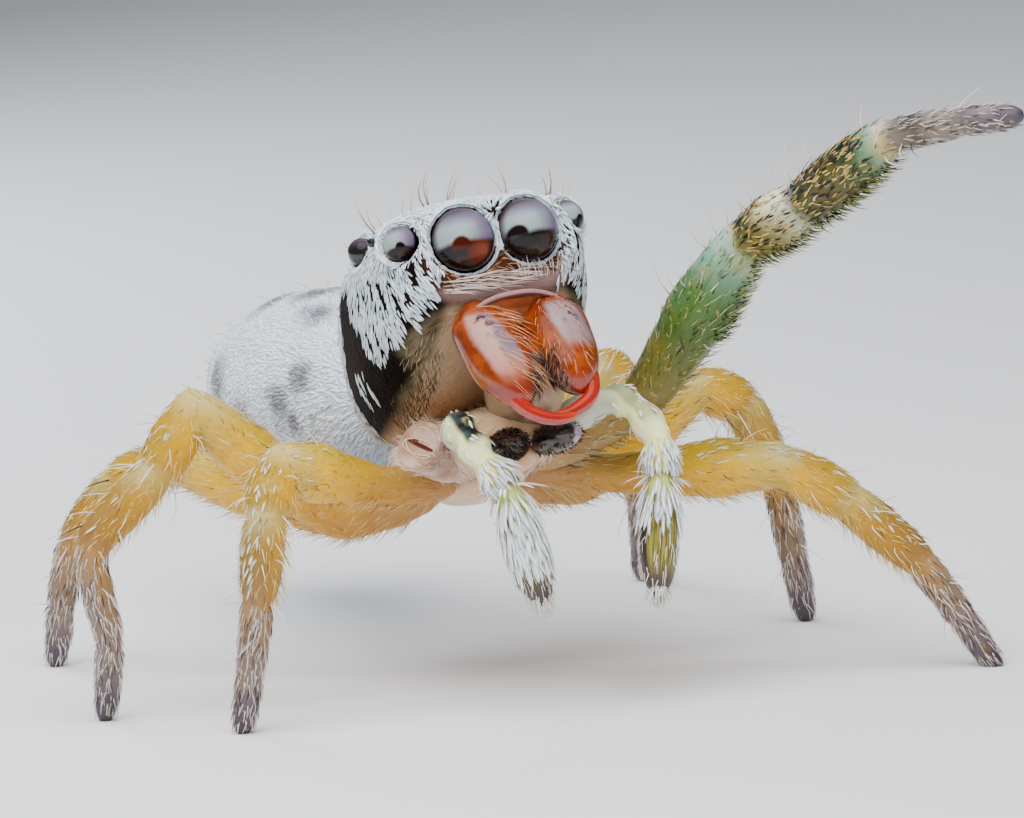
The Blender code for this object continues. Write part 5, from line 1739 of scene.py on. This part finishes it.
# %% Lances, wrist tufts and tips
lance_finish = Finish("palp_lances", "palp_cuticle", Roughness=0.42, Subsurface_Weight=0.3,
                      Subsurface_Scale=0.00004)
luck = lance_finish.attribute("luck")
tip = lance_finish.attribute("tip")
white_lance = luck.mix(tone(232, 228, 236), tone(252, 252, 250))
lance_finish.drive("Base Color", tip.ramp(0.0, 0.55).mix(tone(214, 218, 140), white_lance))
tip_hair = pale_hair_finish("palp_tip_hair", "palp_cuticle", tone(206, 196, 190), tone(244, 238, 232))
for number, side in enumerate(PALPS):
    wrist, tip_point = Vector(PALPS[side][4]), Vector(PALPS[side][5])
    way = (tip_point - wrist).normalized()
    most, thinned = (0.26, 0.5) if side == "left" else (0.64, 0.42)
    steps = unit(np.diff(np.array(PALPS[side][:5]), axis=0))
    dress(f"lances_{side}", brush_skins[side], lambda p, lay: only(lay[:, 1] < most, thinned),
          (5200, 400 + number, 0.046), way, lance_finish, (0.22, 0.034, 0.008),
          (lambda p, lay: np.where(lay[:, 1] < 0.10, 20.0, 11.0 - 5.0 * lay[:, 1]), 1.0),
          410 + number, 7.0, hair=False)
    dress(f"brush_down_{side}", brush_skins[side],
          lambda p, lay: np.where(lay[:, 1] > 0.25, 0.05 + 0.06 * number, 0.03),
          (4000, 420 + number, 0.04), way, tip_hair, (0.10, 0.008, 0.007), (16.0, 8.0), 430 + number)
    dress(f"brush_tip_{side}", brush_skins[side], lambda p, lay: only(lay[:, 1] > 0.93),
          (2600, 440 + number, 0.014), way, tip_hair, (0.10, 0.014, 0.010), (50.0, 30.0), 450 + number, 16.0)
    dress(f"wrist_tufts_{side}", stem_skins[side],
          lambda p, lay: np.where((lay[:, 1] > 0.76) & (lay[:, 1] < 0.92), 0.9, 0.02),
          (3600, 460 + number, 0.036), lambda p, lay: steps[np.clip((lay[:, 1] * 4).astype(int), 0, 3)],
          lance_finish, (lambda p, lay: np.where(lay[:, 1] > 0.75, 0.13, 0.09), 0.030, 0.007),
          (17.0, 5.0), 470 + number, 10.0, hair=False)

# %% [markdown]
# ## The abdomen's scales
# Small scales lie backwards over the whole abdomen like tiles, with a few longer hairs between them.

# %% Cover the abdomen
abdomen_scale = Finish("abdomen_scales", "abdomen_coat", Roughness=0.5, Subsurface_Weight=0.2,
                       Subsurface_Scale=0.00003)
scale_tone = abdomen_tone(abdomen_scale, tone(232, 236, 248), tone(138, 158, 180))
luck = abdomen_scale.attribute("luck")
abdomen_scale.drive("Base Color", (luck.ramp(0.0, 1.0) * 0.12).mix(scale_tone, tone(250, 250, 254)))
for number, (low, high) in enumerate(((0.0, 0.26), (0.26, 0.5), (0.5, 0.74), (0.74, 0.985))):
    dress(f"abdomen_coat_{number + 1}", abdomen_skin,
          lambda p, lay: only((lay[:, 1] >= low) & (lay[:, 1] < high), 0.95),
          (26000, 500 + number, 0.034), (0.0, 1.0, -0.35), abdomen_scale,
          (0.076, 0.028, 0.005), (3.5, 0.0), 505 + number, 20.0, hair=False)
dress("abdomen_hairs", abdomen_skin, lambda p, lay: 0.5 + 0 * p[:, 0], (900, 510, 0.12), (0.0, 1.0, 0.0),
      pale_bristles, (0.16, 0.009, 0.009), (40.0, 20.0), 511, 18.0)

# %% [markdown]
# ## Hair on jaws, mouth and underside
# Fine amber hairs cross the fronts of the jaws and gather in a dark tuft low between them. The mouth
# plates are black with stiff hair, and the soft underside has a thin pale down that hangs.

# %% Jaws and mouth
amber_hair = pale_hair_finish("amber_hair", "amber_cuticle", tone(196, 96, 40), tone(236, 180, 140))
dark_hair = hair_tone("dark_hair", "dark_cuticle", tone(70, 56, 50), tone(120, 98, 84), tone(16, 13, 13), 0.6)


def jaw_strip(lay, turn, low, high):
    return (np.abs(lay[:, 0] - turn) < 0.10) & (lay[:, 1] > low) & (lay[:, 1] < high)


for number, (side, skin) in enumerate(jaw_skins.items()):
    inner = -1.0 if side == "left" else 1.0
    front_turn, reach, swept = (0.53, 0.10, 0.1) if side == "left" else (0.44, 0.21, 0.75)
    dress(f"jaw_hair_{side}", skin, lambda p, lay: only(jaw_strip(lay, front_turn, 0.06, 0.80), 0.5),
          (1500, 600 + number, 0.065), (swept, -0.1, -0.85), amber_hair,
          (reach, 0.0058, 0.0055), (15.0, 5.0), 610 + number, head_way=True)
    dress(f"jaw_tuft_{side}", skin, lambda p, lay: only(jaw_strip(lay, 0.5 - 0.17 * inner, 0.50, 0.86), 0.8),
          (4000, 620 + number, 0.030), (0.3 * inner, -0.2, -1.0), dark_hair,
          (0.10, 0.007, 0.006), (22.0, 8.0), 630 + number, 18.0, head_way=True)
for number, skin in enumerate(plate_skins):
    density = 1.0 if number == 1 else 0.12
    dress(f"plate_hair_{number + 1}", skin, lambda p, lay: np.where(lay[:, 1] < 0.7, 0.9, 0.3) * density,
          (2600, 640 + number, 0.020), (0.0, -1.0, -0.35), dark_hair,
          (0.055, 0.009, 0.008), (40.0, 20.0), 650 + number, 22.0, head_way=True)

# %% [markdown]
# ## Underside and stump
# Thin down hangs from the soft pleats, and pale hairs lie along the middle of the stump.

# %% Underside and stump
dress("pleat_down", flesh_skin, lambda p, lay: np.where(from_top(lay) > 0.3, 0.7, 0.3), (3200, 700, 0.05),
      (0.0, -0.3, -1.0), rosy_hair, (0.10, 0.008, 0.008), (30.0, 16.0), 701, 22.0)
dress("stump_hair", stump_skin, lambda p, lay: only((lay[:, 1] > 0.2) & (lay[:, 1] < 0.52), 0.6),
      (1400, 710, 0.03), stump_way, rosy_hair, (0.09, 0.0055, 0.005), (26.0, 10.0), 711, 18.0)
